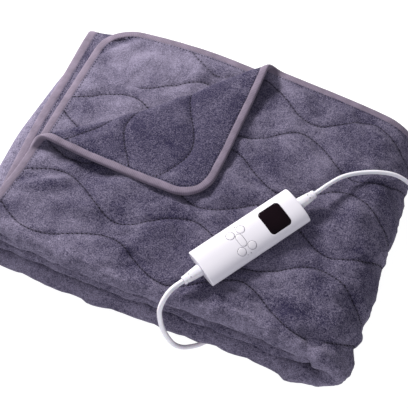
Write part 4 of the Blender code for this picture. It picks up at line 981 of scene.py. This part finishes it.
def plush_cloth(look):
    """The whole folded cloth as one closed surface: a ring of rows at each station, joined to
    the next. Where it lies inside the pile, only some rows of each ring go on."""
    lengths, coarse_from = cloth_stations()
    outer, inner = (trimmed(rows, lengths) for rows in cloth_rows(lengths))
    station = lengths[:, None]
    out_rise, *out_looks = outer_relief(station, outer)
    in_rise, *in_looks = inner_relief(station, inner)
    widths = np.concatenate([outer, inner], 1)
    above = np.concatenate([CLOTH / 2 + out_rise, -CLOTH / 2 - in_rise], 1)
    points = cloth_point(station, widths, above)
    looks = [np.concatenate(pair, 1) for pair in zip(out_looks, in_looks)]

    around = widths.shape[1]
    pads = len(TOP_SEAMS) + 1
    kept = np.ones(around, bool)
    kept[:pads * TOP_ROWS] = np.arange(pads * TOP_ROWS) % TOP_ROWS == 0
    kept[pads * TOP_ROWS - 4:pads * TOP_ROWS] = True
    bare = outer.shape[1] + np.arange(4 * SECOND_ROWS)
    kept[bare] = np.arange(4 * SECOND_ROWS) % SECOND_ROWS == 0
    under = around - 1 - np.arange(4 * UNDER_ROWS)
    kept[under] = np.arange(4 * UNDER_ROWS) % UNDER_ROWS == 0
    keep = np.flatnonzero(kept)

    fine, rough = points[:coarse_from], points[coarse_from:, keep]
    first = coarse_from * around
    faces = grid_faces(coarse_from, around, wrap_columns=True).tolist()
    faces += (grid_faces(len(rough), len(keep), wrap_columns=True) + first).tolist()
    last_ring = first - around
    for at, row in enumerate(keep):
        after = keep[(at + 1) % len(keep)]
        run = range(row, after + 1) if after > row else [*range(row, around), *range(0, after + 1)]
        beyond = [first + (at + 1) % len(keep), first + at]
        faces.append([last_ring + step for step in run] + beyond)
    start_cap = end_cap(outer[0], inner[0], 0, 60)
    faces += [face[::-1] for face in start_cap]
    on_outer = kept[:outer.shape[1]]
    on_inner = kept[outer.shape[1]:]
    final = first + (len(rough) - 1) * len(keep)
    faces += end_cap(outer[-1][on_outer], inner[-1][on_inner], final, 40)

    def both(grid):
        return np.concatenate([grid[:coarse_from].reshape(-1, *grid.shape[2:]),
                               grid[coarse_from:, keep].reshape(-1, *grid.shape[2:])])

    flat = np.stack(np.broadcast_arrays(station, widths), -1)
    piece = new_piece("plush_cloth", both(points), faces, look, uv=both(flat),
                      values={name: both(grid) for name, grid in zip(("seam", "nap", "mottle"), looks)})
    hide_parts("blanket")
    return piece


def perimeter(spacing, in_turns):
    """Stations round the cloth's edge: length, width, and the way out in both; closer
    together where the edge goes round a turn."""
    def side(ends, start, end, turns):
        places = [np.arange(start, end, spacing)]
        for index, (_, turn) in enumerate(turns):
            if turn:
                places.append(np.arange(ends[index] - 3 * MM, ends[index + 1] + 3 * MM, in_turns))
        places = np.unique(np.round(np.concatenate(places), 5))
        places = places[(places > start) & (places < end)]
        return places[np.concatenate([[True], np.diff(places) > 0.4 * in_turns])]

    def corner(centre_length, centre_width, start):
        turn = start + np.linspace(0, math.pi / 2, 13)
        out = np.stack([np.cos(turn), np.sin(turn)], 1)
        return np.column_stack([centre_length + CORNER_ROUND * out[:, 0],
                                centre_width + CORNER_ROUND * out[:, 1], out])

    far, wide, r = CLOTH_LENGTH, CLOTH_WIDTH, CORNER_ROUND
    along = side(LENGTH_ENDS, r, far - r, LENGTHWISE)[:, None]
    across = side(WIDTH_ENDS, r, wide - r, CROSSWISE)[:, None]
    return np.vstack([
        np.hstack([along, along * 0, along * 0, along * 0 - 1]), corner(far - r, r, -math.pi / 2),
        np.hstack([across * 0 + far, across, across * 0 + 1, across * 0]), corner(far - r, wide - r, 0.0),
        np.hstack([along, along * 0 + wide, along * 0, along * 0 + 1])[::-1],
        corner(r, wide - r, math.pi / 2),
        np.hstack([across * 0, across, across * 0 - 1, across * 0])[::-1], corner(r, r, math.pi)])


def edge_binding(look):
    """The tape folded over the rim: a rounded section carried round the edge, its inner rims
    just over the cloth, puckered a little by its stitches."""
    stations = perimeter(3.6 * MM, 1.3 * MM)
    across, up = superellipse(20, 0.75)
    travelled = np.concatenate([[0.0], np.cumsum(np.linalg.norm(np.diff(stations[:, :2], axis=0), axis=1))])
    pucker = 1 + 0.035 * waves(travelled, 0 * travelled, 17 * MM, 21)[:, None]
    out = (3.3 + 5.0 * across) * MM * np.ones((len(stations), 1))
    over = 3.25 * MM * np.sign(up) * np.abs(up) ** 0.7 * pucker
    points = cloth_point(stations[:, :1] + stations[:, 2:3] * out,
                         stations[:, 1:2] + stations[:, 3:4] * out, over)
    faces = grid_faces(len(stations), len(across), wrap_rows=True, wrap_columns=True)
    round_it = np.linspace(0, 30 * MM, len(across))[None] * np.ones((len(stations), 1))
    flat = np.stack([travelled[:, None] * np.ones_like(out), round_it], -1)
    piece = new_piece("bound_edge", points, faces, look, uv=flat)
    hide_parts("edge_binding")
    return piece


def spindles(name, at, half, out, level, wide, aside, look):
    """Stitches: each a spindle of eight faces, from its two ends and four points round it.
    at: gives the stitches' points so far along, across and up from their middles."""
    corners = np.stack([at(-half, out, level), at(half, out, level), at(0, out - aside, level),
                        at(0, out, level + wide), at(0, out + aside, level), at(0, out, level - wide)], 1)
    pattern = np.array([(0, 2, 3), (0, 3, 4), (0, 4, 5), (0, 5, 2),
                        (1, 3, 2), (1, 4, 3), (1, 5, 4), (1, 2, 5)])
    faces = (pattern[None] + 6 * np.arange(len(corners))[:, None, None]).reshape(-1, 3)
    return new_piece(name, corners, faces, look)


def edge_stitches(looks):
    """Two rows of stitches that hold the tape, one on each side of the cloth."""
    pitch, half, wide, inwards = 3.9 * MM, 1.1 * MM, 0.6 * MM, -2.2 * MM
    level = 2.9 * MM
    x, y, way_x, way_y = perimeter(pitch, pitch).T
    made = []
    for name, side, look in (("tape_stitches_over", 1, looks[0]), ("tape_stitches_under", -1, looks[1])):
        def at(along, outwards, up):
            return cloth_point(x + along * way_y + outwards * way_x,
                               y - along * way_x + outwards * way_y, side * up)
        made.append(spindles(name, at, half, inwards, level, wide, wide, look))
    return made


def seam_stitches(look):
    """Stitches in the quilting seams that show: top cloth, turned corner, second cloth."""
    pitch, half, wide = 4.2 * MM, 1.35 * MM, 0.75 * MM
    clear = 4 * MM              # how far from the rim they begin
    places = []
    for seam in TOP_SEAMS:
        x = np.arange(LEFT_END + clear, LEFT_END + LENGTH_ENDS[2], pitch)
        y = seam_line(seam, x)
        places.append(np.column_stack([x, BACK_END - y, x * 0 + 1])[past_fold(x, y) < 0])
    for seam in FLAP_SEAMS:
        x = np.arange(LEFT_END + clear, -60 * MM, pitch)
        y = seam_line(seam, x)
        shown = (past_fold(x, y) > 17 * MM) & (y < BACK_END - clear)
        places.append(np.column_stack([x, BACK_END - y, x * 0 - 1])[shown])
    for seam in SECOND_SEAMS:
        x = np.arange(LEFT_END + clear, 20 * MM, pitch)
        y = seam_line(seam, x)
        shown = (past_fold(x, y) > -4 * MM) & (y < SECOND_BACK_END - clear) & (seam_shown(x, y, True) > 0)
        places.append(np.column_stack([x, WIDTH_ENDS[6] + y - INNER_FRONT_TURN, x * 0 - 1])[shown])
    x, width, side = np.vstack(places).T

    def at(along, across, up):
        return cloth_point(x - LEFT_END + along, width + across, side * up)

    relief = np.where(side > 0, outer_relief(x - LEFT_END, width)[0], inner_relief(x - LEFT_END, width)[0])
    level = CLOTH / 2 + relief + 0.2 * MM
    return spindles("quilting_stitches", at, half, 0, level, wide, side * wide, look)


# ---- controller ------------------------------------------------------------------------------
def spread_points(node):
    """The points of a CAD node, each once."""
    mesh = frame["nodes"][node].data
    points = np.zeros(len(mesh.vertices) * 3)
    mesh.vertices.foreach_get("co", points)
    return np.unique(points.reshape(-1, 3).round(6), axis=0)


def case_axes():
    """The case's axes read from the frame, as rows: along, across, out; and its middle."""
    ends = [spread_points(node).mean(axis=0) for node in ("relief_blanket", "relief_mains")]
    along = (ends[1] - ends[0]) / np.linalg.norm(ends[1] - ends[0])
    out = np.array(frame["joints"][0]["axis"], float)
    across = np.cross(out, along)
    across /= np.linalg.norm(across)
    return np.stack([along, across, np.cross(along, across)]), (ends[0] + ends[1]) / 2


CASE_AXES, CASE_MIDDLE = case_axes()


def on_case(points):
    """Points given along, across and out of the case, in the world."""
    return np.asarray(points, float) @ CASE_AXES + CASE_MIDDLE


def crown(across, rise):
    """Height of the case's lens-shaped section over the parting line."""
    share = np.clip(np.abs(across) / (CASE_WIDTH / 2), 0, 1)
    return rise * (1 - share ** 2.4) ** 0.62


def case_half(name, rise, side, look):
    """Half of the case: its crowned section carried along it, with rounded ends, and a small
    chamfer at the parting line."""
    share = np.cos(np.linspace(0, math.pi, 61))
    up = crown(share * CASE_WIDTH / 2, rise)
    chamfer = np.maximum(0.45 * MM - up, 0)
    wide = share * CASE_WIDTH / 2 - np.sign(share) * chamfer * 0.8
    around = np.concatenate([wide, wide[1:-1][::-1]])
    over = np.concatenate([up, np.zeros(len(up) - 2)]) + PARTING
    turn = np.linspace(0, math.pi / 2, 7)
    end_along = CASE_LENGTH / 2 - CASE_ROUND * (1 - np.sin(turn))
    end_inset = CASE_ROUND * (1 - np.cos(turn))
    along = np.concatenate([-end_along[::-1], np.linspace(-end_along[0], end_along[0], 42)[1:-1], end_along])
    inset = np.concatenate([end_inset[::-1], np.zeros(40), end_inset])
    rings = np.stack([np.repeat(along[:, None], len(around), 1),
                      around * (1 - inset[:, None] / (CASE_WIDTH / 2)),
                      side * over * (1 - inset[:, None] / rise)], -1)
    points, faces = tube_of_rings(rings)
    return new_piece(name, points, faces, look, sharp=40)


def rounded_outline(centre, half_along, half_across, radius, per_corner):
    """A box outline with round corners, as points along and across the case."""
    points = []
    for quarter, (way_along, way_across) in enumerate(((1, 1), (-1, 1), (-1, -1), (1, -1))):
        turn = math.pi / 2 * (quarter + np.linspace(0, 1, per_corner))
        corner_along = centre[0] + way_along * (half_along - radius)
        corner_across = centre[1] + way_across * (half_across - radius)
        points.append(np.column_stack([corner_along + radius * np.cos(turn),
                                       corner_across + radius * np.sin(turn)]))
    return densified(np.vstack(points), 1.2 * MM)


def densified(outline, spacing):
    """The same closed outline with points no further apart than about a spacing."""
    parts = []
    for start, end in zip(outline, np.roll(outline, -1, axis=0)):
        steps = max(1, int(np.linalg.norm(end - start) / spacing))
        parts.append(start + (end - start) * np.arange(steps)[:, None] / steps)
    return np.vstack(parts)


def key_outline(along, across, length_across, length_along, grow):
    """Outline of a key: round, or drawn out across the case with round ends."""
    half = length_along / 2 + grow
    return rounded_outline((KEYS_ALONG + along, across), half, length_across / 2 + grow, half * 0.999, 12)


def window_outline(grow):
    middle = ((WINDOW_FROM + WINDOW_TO) / 2, 0.0)
    return rounded_outline(middle, (WINDOW_TO - WINDOW_FROM) / 2 + grow, WINDOW_WIDTH / 2 + grow,
                           WINDOW_ROUND + grow, 8)


def pocket(outline, floor):
    """Points and faces of an upright cutter on an outline."""
    levels = (floor, 2 * CASE_RISE)
    return tube_of_rings([np.column_stack([outline, np.full(len(outline), level)]) for level in levels])


def cut_pockets(cover):
    """Cuts the window's and the keys' pockets out of the cover."""
    for outline, floor in [(window_outline(0.2 * MM), WINDOW_FLOOR - 0.2 * MM)] + [
            (key_outline(*row[1:], KEY_GAP), KEY_POCKET_FLOOR) for row in KEYS]:
        points, faces = pocket(outline, floor)
        mesh = bpy.data.meshes.new("pocket")
        mesh.from_pydata(points.tolist(), [], faces)
        tool = bpy.data.objects.new("pocket", mesh)
        bpy.context.scene.collection.objects.link(tool)
        step = cover.modifiers.new("cut", "BOOLEAN")
        step.operation = "DIFFERENCE"
        step.solver = "EXACT"
        step.object = tool
        bpy.context.view_layer.update()
        evaluated = cover.evaluated_get(bpy.context.evaluated_depsgraph_get())
        mesh = bpy.data.meshes.new_from_object(evaluated)
        cover.modifiers.remove(step)
        cover.data = mesh
        bpy.data.objects.remove(tool)
    cover.data.shade_smooth()
    cover.data.set_sharp_from_angle(angle=math.radians(32))


def crowned_plug(outline, foot, rim, sink, dome):
    """A closed piece let into the cover: walls on an outline, a rounded rim, and a top that
    follows the cover's crown, sunk under it or domed over it."""
    middle = outline.mean(axis=0)
    levels = [(1.0, None), (1.0, rim), (0.985, rim * 0.3), (0.95, 0.0), (0.75, 0.0), (0.5, 0.0),
              (0.25, 0.0), (0.04, 0.0)]
    rings = []
    for share, drop in levels:
        drawn_in = middle + (outline - middle) * share
        top = crown(drawn_in[:, 1], CASE_RISE) - sink + dome * (1 - share ** 2)
        rings.append(np.column_stack([drawn_in, np.full(len(outline), foot) if drop is None else top - drop]))
    points, faces = tube_of_rings(rings)
    return on_case(points), faces


def ink(name, strokes, look, body):
    """Printed marks on the cover or a key: thin bars, each from its middle, heading, length
    and width, laid on the crown."""
    points, faces = [], []
    for along, across, heading, length, width in strokes:
        u = np.array([-0.5, -0.17, 0.17, 0.5])[:, None] * length
        v = np.array([-0.5, 0.5])[None] * width
        a = along + u * math.cos(heading) - v * math.sin(heading)
        b = across + u * math.sin(heading) + v * math.cos(heading)
        for lift in (0.07 * MM, -0.25 * MM):
            points.append(np.stack([a, b, crown(b, CASE_RISE) + PARTING + lift], -1).reshape(-1, 3))
        first = sum(len(p) for p in points[:-2])
        top = grid_faces(4, 2) + first
        rim = [0, 2, 4, 6, 7, 5, 3, 1]
        faces += top.tolist() + (top[:, ::-1] + 8).tolist()
        walls = zip(rim, rim[1:] + rim[:1])
        faces += [[first + p, first + q, first + q + 8, first + p + 8] for p, q in walls]
    return new_piece(name, on_case(np.vstack(points)), faces, look, body=body)


def controller(looks):
    """The case's halves, the window, the keys with their marks, and the strain reliefs."""
    cover = case_half("case_cover", CASE_RISE, 1, looks["case"])
    cut_pockets(cover)
    base = case_half("case_base", CASE_DROP, -1, looks["case"])
    for half, node in ((cover, "controller_cover"), (base, "controller_base")):
        points = np.zeros(len(half.data.vertices) * 3)
        half.data.vertices.foreach_get("co", points)
        half.data.vertices.foreach_set("co", on_case(points.reshape(-1, 3)).ravel())
        half.data.update()
        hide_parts(node)

    points, faces = crowned_plug(window_outline(-0.1 * MM), WINDOW_FLOOR, 0.3 * MM, -0.05 * MM, 0.0)
    window = new_piece("display_glass", points, faces, looks["display"], sharp=50)
    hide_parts("display_window")

    bodies = {"key_power": "power_key", "key_heat_up": "heat_up_key", "key_heat_down": "heat_down_key",
              "key_time_up": "time_up_key", "key_time_down": "time_down_key"}
    for node, along, across, long_across, long_along in KEYS:
        outline = key_outline(along, across, long_across, long_along, -0.12 * MM)
        points, faces = crowned_plug(outline, KEY_FOOT, 0.3 * MM, -PARTING, 0.12 * MM)
        key = new_piece("push_" + node, points, faces, looks["keys"], body=bodies[node],
                        sharp=50)
        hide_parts(node)
    dash = [(KEYS_ALONG, 0.0, math.pi / 2, 6.2 * MM, 0.95 * MM)]
    ink("power_mark", dash, looks["ink"], "power_key")
    beside = []
    for side in (1, -1):
        along, across = KEYS_ALONG + side * 1.2 * MM, side * 17.4 * MM
        beside += [(along + shift * MM, across, heading, 1.5 * MM, 0.4 * MM)
                   for shift, heading in ((2.2, 0.0), (2.2, math.pi / 2), (-2.2, 0.0))]
    ink("key_marks", beside, looks["ink"], BLANKET)

    for node, side in (("relief_mains", 1), ("relief_blanket", -1)):
        relief(node, side, looks)


def relief(node, side, looks):
    """A strain relief: a soft-cornered section that tapers to a collar, with two vent holes drawn as small
    dark domes: painted shade in the holes.
    """
    across, up = superellipse(32, 0.8)
    rows = np.array(RELIEF_SECTIONS) * MM
    start = CASE_LENGTH / 2 + FIT_GAP
    rings = [np.column_stack([np.full(32, side * (start + d)), across * wide, up * high])
             for d, wide, high in rows]
    points, faces = tube_of_rings(rings)
    piece = new_piece("strain_" + node, on_case(points), faces, looks["cord"], sharp=38)
    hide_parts(node)
    # The vent holes are small dark domes in the ink colour: painted shade standing in for the hollows of the
    # holes.
    hole_shades, hole_shade_faces = [], []
    turn = np.linspace(0, 2 * math.pi, 12, endpoint=False)
    for place in (-2.1 * MM, 2.1 * MM):
        rings = []
        for share, lift in ((1.0, -0.6), (1.0, 0.02), (0.6, 0.09), (0.05, 0.1)):
            rings.append(np.column_stack([side * (start + DOTS_FROM) + DOT_RADIUS * share * np.cos(turn),
                                          place + DOT_RADIUS * share * np.sin(turn),
                                          np.full(12, DOTS_LEVEL + lift * MM)]))
        points, faces = tube_of_rings(rings)
        hole_shade_faces += [[at + sum(len(p) for p in hole_shades) for at in face] for face in faces]
        hole_shades.append(on_case(points))
    new_piece("vent_hole_shade_" + node, np.vstack(hole_shades), hole_shade_faces, looks["ink"])


# ---- leads -----------------------------------------------------------------------------------
def smooth_through(knots, spacing):
    """Points about a spacing apart on a centripetal curve through the knots."""
    padded = np.vstack([2 * knots[0] - knots[1], knots, 2 * knots[-1] - knots[-2]])
    pieces = []
    for p0, p1, p2, p3 in zip(padded, padded[1:], padded[2:], padded[3:]):
        gaps = [math.sqrt(np.linalg.norm(b - a) + 1e-9) for a, b in ((p0, p1), (p1, p2), (p2, p3))]
        m0, m1, m2, m3 = np.concatenate([[0.0], np.cumsum(gaps)])
        at = np.linspace(m1, m2, 12, endpoint=False)[:, None]
        one, two, three = (a + (b - a) * (at - s) / (e - s) for a, b, s, e in
                           ((p0, p1, m0, m1), (p1, p2, m1, m2), (p2, p3, m2, m3)))
        near, far = one + (two - one) * (at - m0) / (m2 - m0), two + (three - two) * (at - m1) / (m3 - m1)
        pieces.append(near + (far - near) * (at - m1) / (m2 - m1))
    dense = np.vstack(pieces + [knots[-1:]])
    travelled = np.concatenate([[0.0], np.cumsum(np.linalg.norm(np.diff(dense, axis=0), axis=1))])
    even = np.linspace(0, travelled[-1], max(3, int(round(travelled[-1] / spacing)) + 1))
    return np.stack([np.interp(even, travelled, dense[:, axis]) for axis in range(3)], -1), travelled[-1]


def coil_knots():
    """Knots of the coiled spare lead, in millimetres: nine turns, three beside each other in
    each of three layers; each turn is a circle that steps to the next in its last sixth, a
    layer's last turn rising just before; then the end climbs to the plug."""
    radii = [*COIL_RADII, *COIL_RADII[::-1], *COIL_RADII]
    heights = np.repeat(COIL_HEIGHTS, 3)
    turns = np.arange(0, COIL_TURNS, 1 / 18)
    at = turns.astype(int)
    after = np.minimum(at + 1, 8)
    part = turns - at
    radius = np.array(radii)[at] + (np.array(radii)[after] - np.array(radii)[at]) * ease(part, 5 / 6, 1.0)
    height = heights[at] + (heights[after] - heights[at]) * ease(part, 4 / 6, 5 / 6)
    rise = np.linspace(8.85, 9.19, 8)
    share = ease(rise, COIL_TURNS, 9.22)
    plug_level = COIL_TOP + FIT_GAP + PLUG_THICKNESS / 2
    radius = np.concatenate([radius, COIL_RADII[2] + (20.2 * MM - COIL_RADII[2]) * share])
    height = np.concatenate([height, COIL_HEIGHTS[2] + (plug_level - COIL_HEIGHTS[2]) * share])
    angle = 2 * math.pi * np.concatenate([turns, rise]) - math.pi / 2
    middle_x, middle_y = COIL_MIDDLE
    knots = np.stack([middle_x + radius * np.cos(angle), middle_y + radius * np.sin(angle), height], -1)
    rear = np.array([middle_x + PLUG_ON_COIL[0], middle_y + PLUG_ON_COIL[1] - PLUG_TAIL, plug_level])
    return np.vstack([knots, rear])


def lead(name, relief_side, route, diameter, look, more=()):
    """A lead as a round curve: straight out of its relief, then through the route's points."""
    tip = on_case([relief_side * (CASE_LENGTH / 2 + RELIEF_LENGTH + 2 * FIT_GAP), 0, 0])
    knots = np.vstack([tip, tip + relief_side * CASE_AXES[0] * STRAIGHT_OUT * diameter,
                       np.array(route) * MM, *more])
    path, length = smooth_through(knots, 0.5 * diameter)
    curve = bpy.data.curves.new(name, "CURVE")
    curve.dimensions = "3D"
    curve.bevel_depth = diameter / 2
    curve.bevel_resolution = 4
    curve.use_fill_caps = True
    line = curve.splines.new("POLY")
    line.points.add(len(path) - 1)
    line.points.foreach_set("co", np.column_stack([path, np.ones(len(path))]).ravel())
    line.use_smooth = True
    piece = dress(bpy.data.objects.new(name, curve), look, BLANKET)
    return piece, tuple(path[0]), length


def plug(looks):
    """The flat plug: a soft-cornered section that widens to its face, with grip ribs, and two
    round pins with rounded tips."""
    middle = np.array([COIL_MIDDLE[0] + PLUG_ON_COIL[0], COIL_MIDDLE[1] + PLUG_ON_COIL[1],
                       COIL_TOP + FIT_GAP + PLUG_THICKNESS / 2])
    sections = np.array(PLUG_SECTIONS, float)
    along = np.concatenate([np.linspace(-24, 11, 71), [11.6, 12.4, 13.2, 13.8, 14.0]])
    wide, thick = smoothed(sections[:, 1:], sections[:, 0], along, 0).T
    closing = np.interp(along, [11.6, 12.4, 13.2, 13.8, 14.0], [1.0, 0.995, 0.97, 0.93, 0.88])
    ribs = 0.35 * np.sin(2 * math.pi * along / 2.6).clip(-0.2, 1) * ease(along, -9, -7) * ease(-along, -5, -3)
    across, up = superellipse(48, 0.62)
    rings = np.stack([(wide / 2 * closing - ribs)[:, None] * across, np.repeat(along[:, None], 48, 1),
                      (thick / 2 * closing)[:, None] * up], -1) * MM
    points, faces = tube_of_rings(rings)
    body = new_piece("mains_plug", points + middle, faces, looks["plug"], sharp=50)
    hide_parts("plug_body")
    pieces = [body]
    turn = np.linspace(0, 2 * math.pi, 24, endpoint=False)
    front = PLUG_SECTIONS[-1][0] * MM + FIT_GAP
    for node, side in (("plug_pin_left", -1), ("plug_pin_right", 1)):
        quarter = np.linspace(0, math.pi / 2, 9)
        reach = np.concatenate([[0.0], PIN_LENGTH - PIN_RADIUS * (1 - np.sin(quarter))])
        radius = np.concatenate([[PIN_RADIUS], PIN_RADIUS * np.cos(0.985 * quarter)])
        rings = np.stack([side * PIN_SPACING / 2 + radius[:, None] * np.cos(turn),
                          np.repeat((front + reach)[:, None], 24, 1), radius[:, None] * np.sin(turn)], -1)
        points, faces = tube_of_rings(rings)
        pin = new_piece("contact_" + node, points + middle, faces, looks["pin"], sharp=60)
        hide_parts(node)
        pieces.append(pin)
    return pieces


# ---- the scene -------------------------------------------------------------------------------
def studio():
    """Pale floor, soft even light from all round, a key light from the back left, and a weak
    one from the front."""
    size = 6.0
    corners = np.array([(-size, -size, 0), (size, -size, 0), (size, size, 0), (-size, size, 0)])
    mesh = bpy.data.meshes.new("floor")
    mesh.from_pydata(corners.tolist(), [], [(0, 1, 2, 3)])
    mesh.materials.append(floor_material())
    floor = bpy.data.objects.new("floor", mesh)
    bpy.context.scene.collection.objects.link(floor)
    world = bpy.data.worlds.new("studio")
    bpy.context.scene.world = world
    world.use_nodes = True
    background = world.node_tree.nodes["Background"]
    background.inputs["Color"].default_value = colour("#f6f6ff")
    background.inputs["Strength"].default_value = 0.34
    area_light("key_light", (-1.1, 0.55, 1.0), (0, 0, 0.08), 0.4, 41.0, "#fffdf8")
    area_light("front_light", (0.2, -1.6, 1.0), (0, 0, 0.05), 1.0, 8.0, "#fbfaff")
    bpy.context.scene.view_settings.view_transform = "Standard"


def main():
    place_camera()
    looks = {
        "cord": moulded_material("extruded_vinyl", "#e9e6ef", 0.42, 1.2, 0.03, Subsurface_Weight=0.05),
        "plug": moulded_material("moulded_vinyl", "#e6e3ec", 0.45, 0.8, 0.05),
        "case": moulded_material("moulded_abs", "#e8e5ee", 0.36, 0.5, 0.012, IOR=1.54),
        "keys": moulded_material("key_abs", "#e6e3eb", 0.42, 0.4, 0.012, IOR=1.54),
        # Print ink, also the painted shade in the strain reliefs' vent holes.
        "ink": thread_material("print_ink_and_hole_shade", "#55525e"),
        "display": display_material(),
        "pin": nickel_material(),
    }
    cord = looks["cord"]
    piece, start, length = lead("blanket_cord", -1, BLANKET_ROUTE, BLANKET_LEAD, cord)
    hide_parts("blanket_lead")
    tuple(start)
    piece, start, length = lead("mains_cord", 1, MAINS_ROUTE, MAINS_LEAD, cord, [coil_knots()])
    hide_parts("mains_lead", "mains_coil")
    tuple(start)
    plug(looks)

    cloth = plush_cloth(plush_material())
    tape = edge_binding(tape_material())
    threads = ("tape_thread", "#4c4450"), ("dark_tape_thread", "#1f1b26")
    stitches = edge_stitches([thread_material(*thread) for thread in threads])
    stitches.append(seam_stitches(thread_material("seam_thread", "#17141f")))
    controller(looks)
    studio()


main()
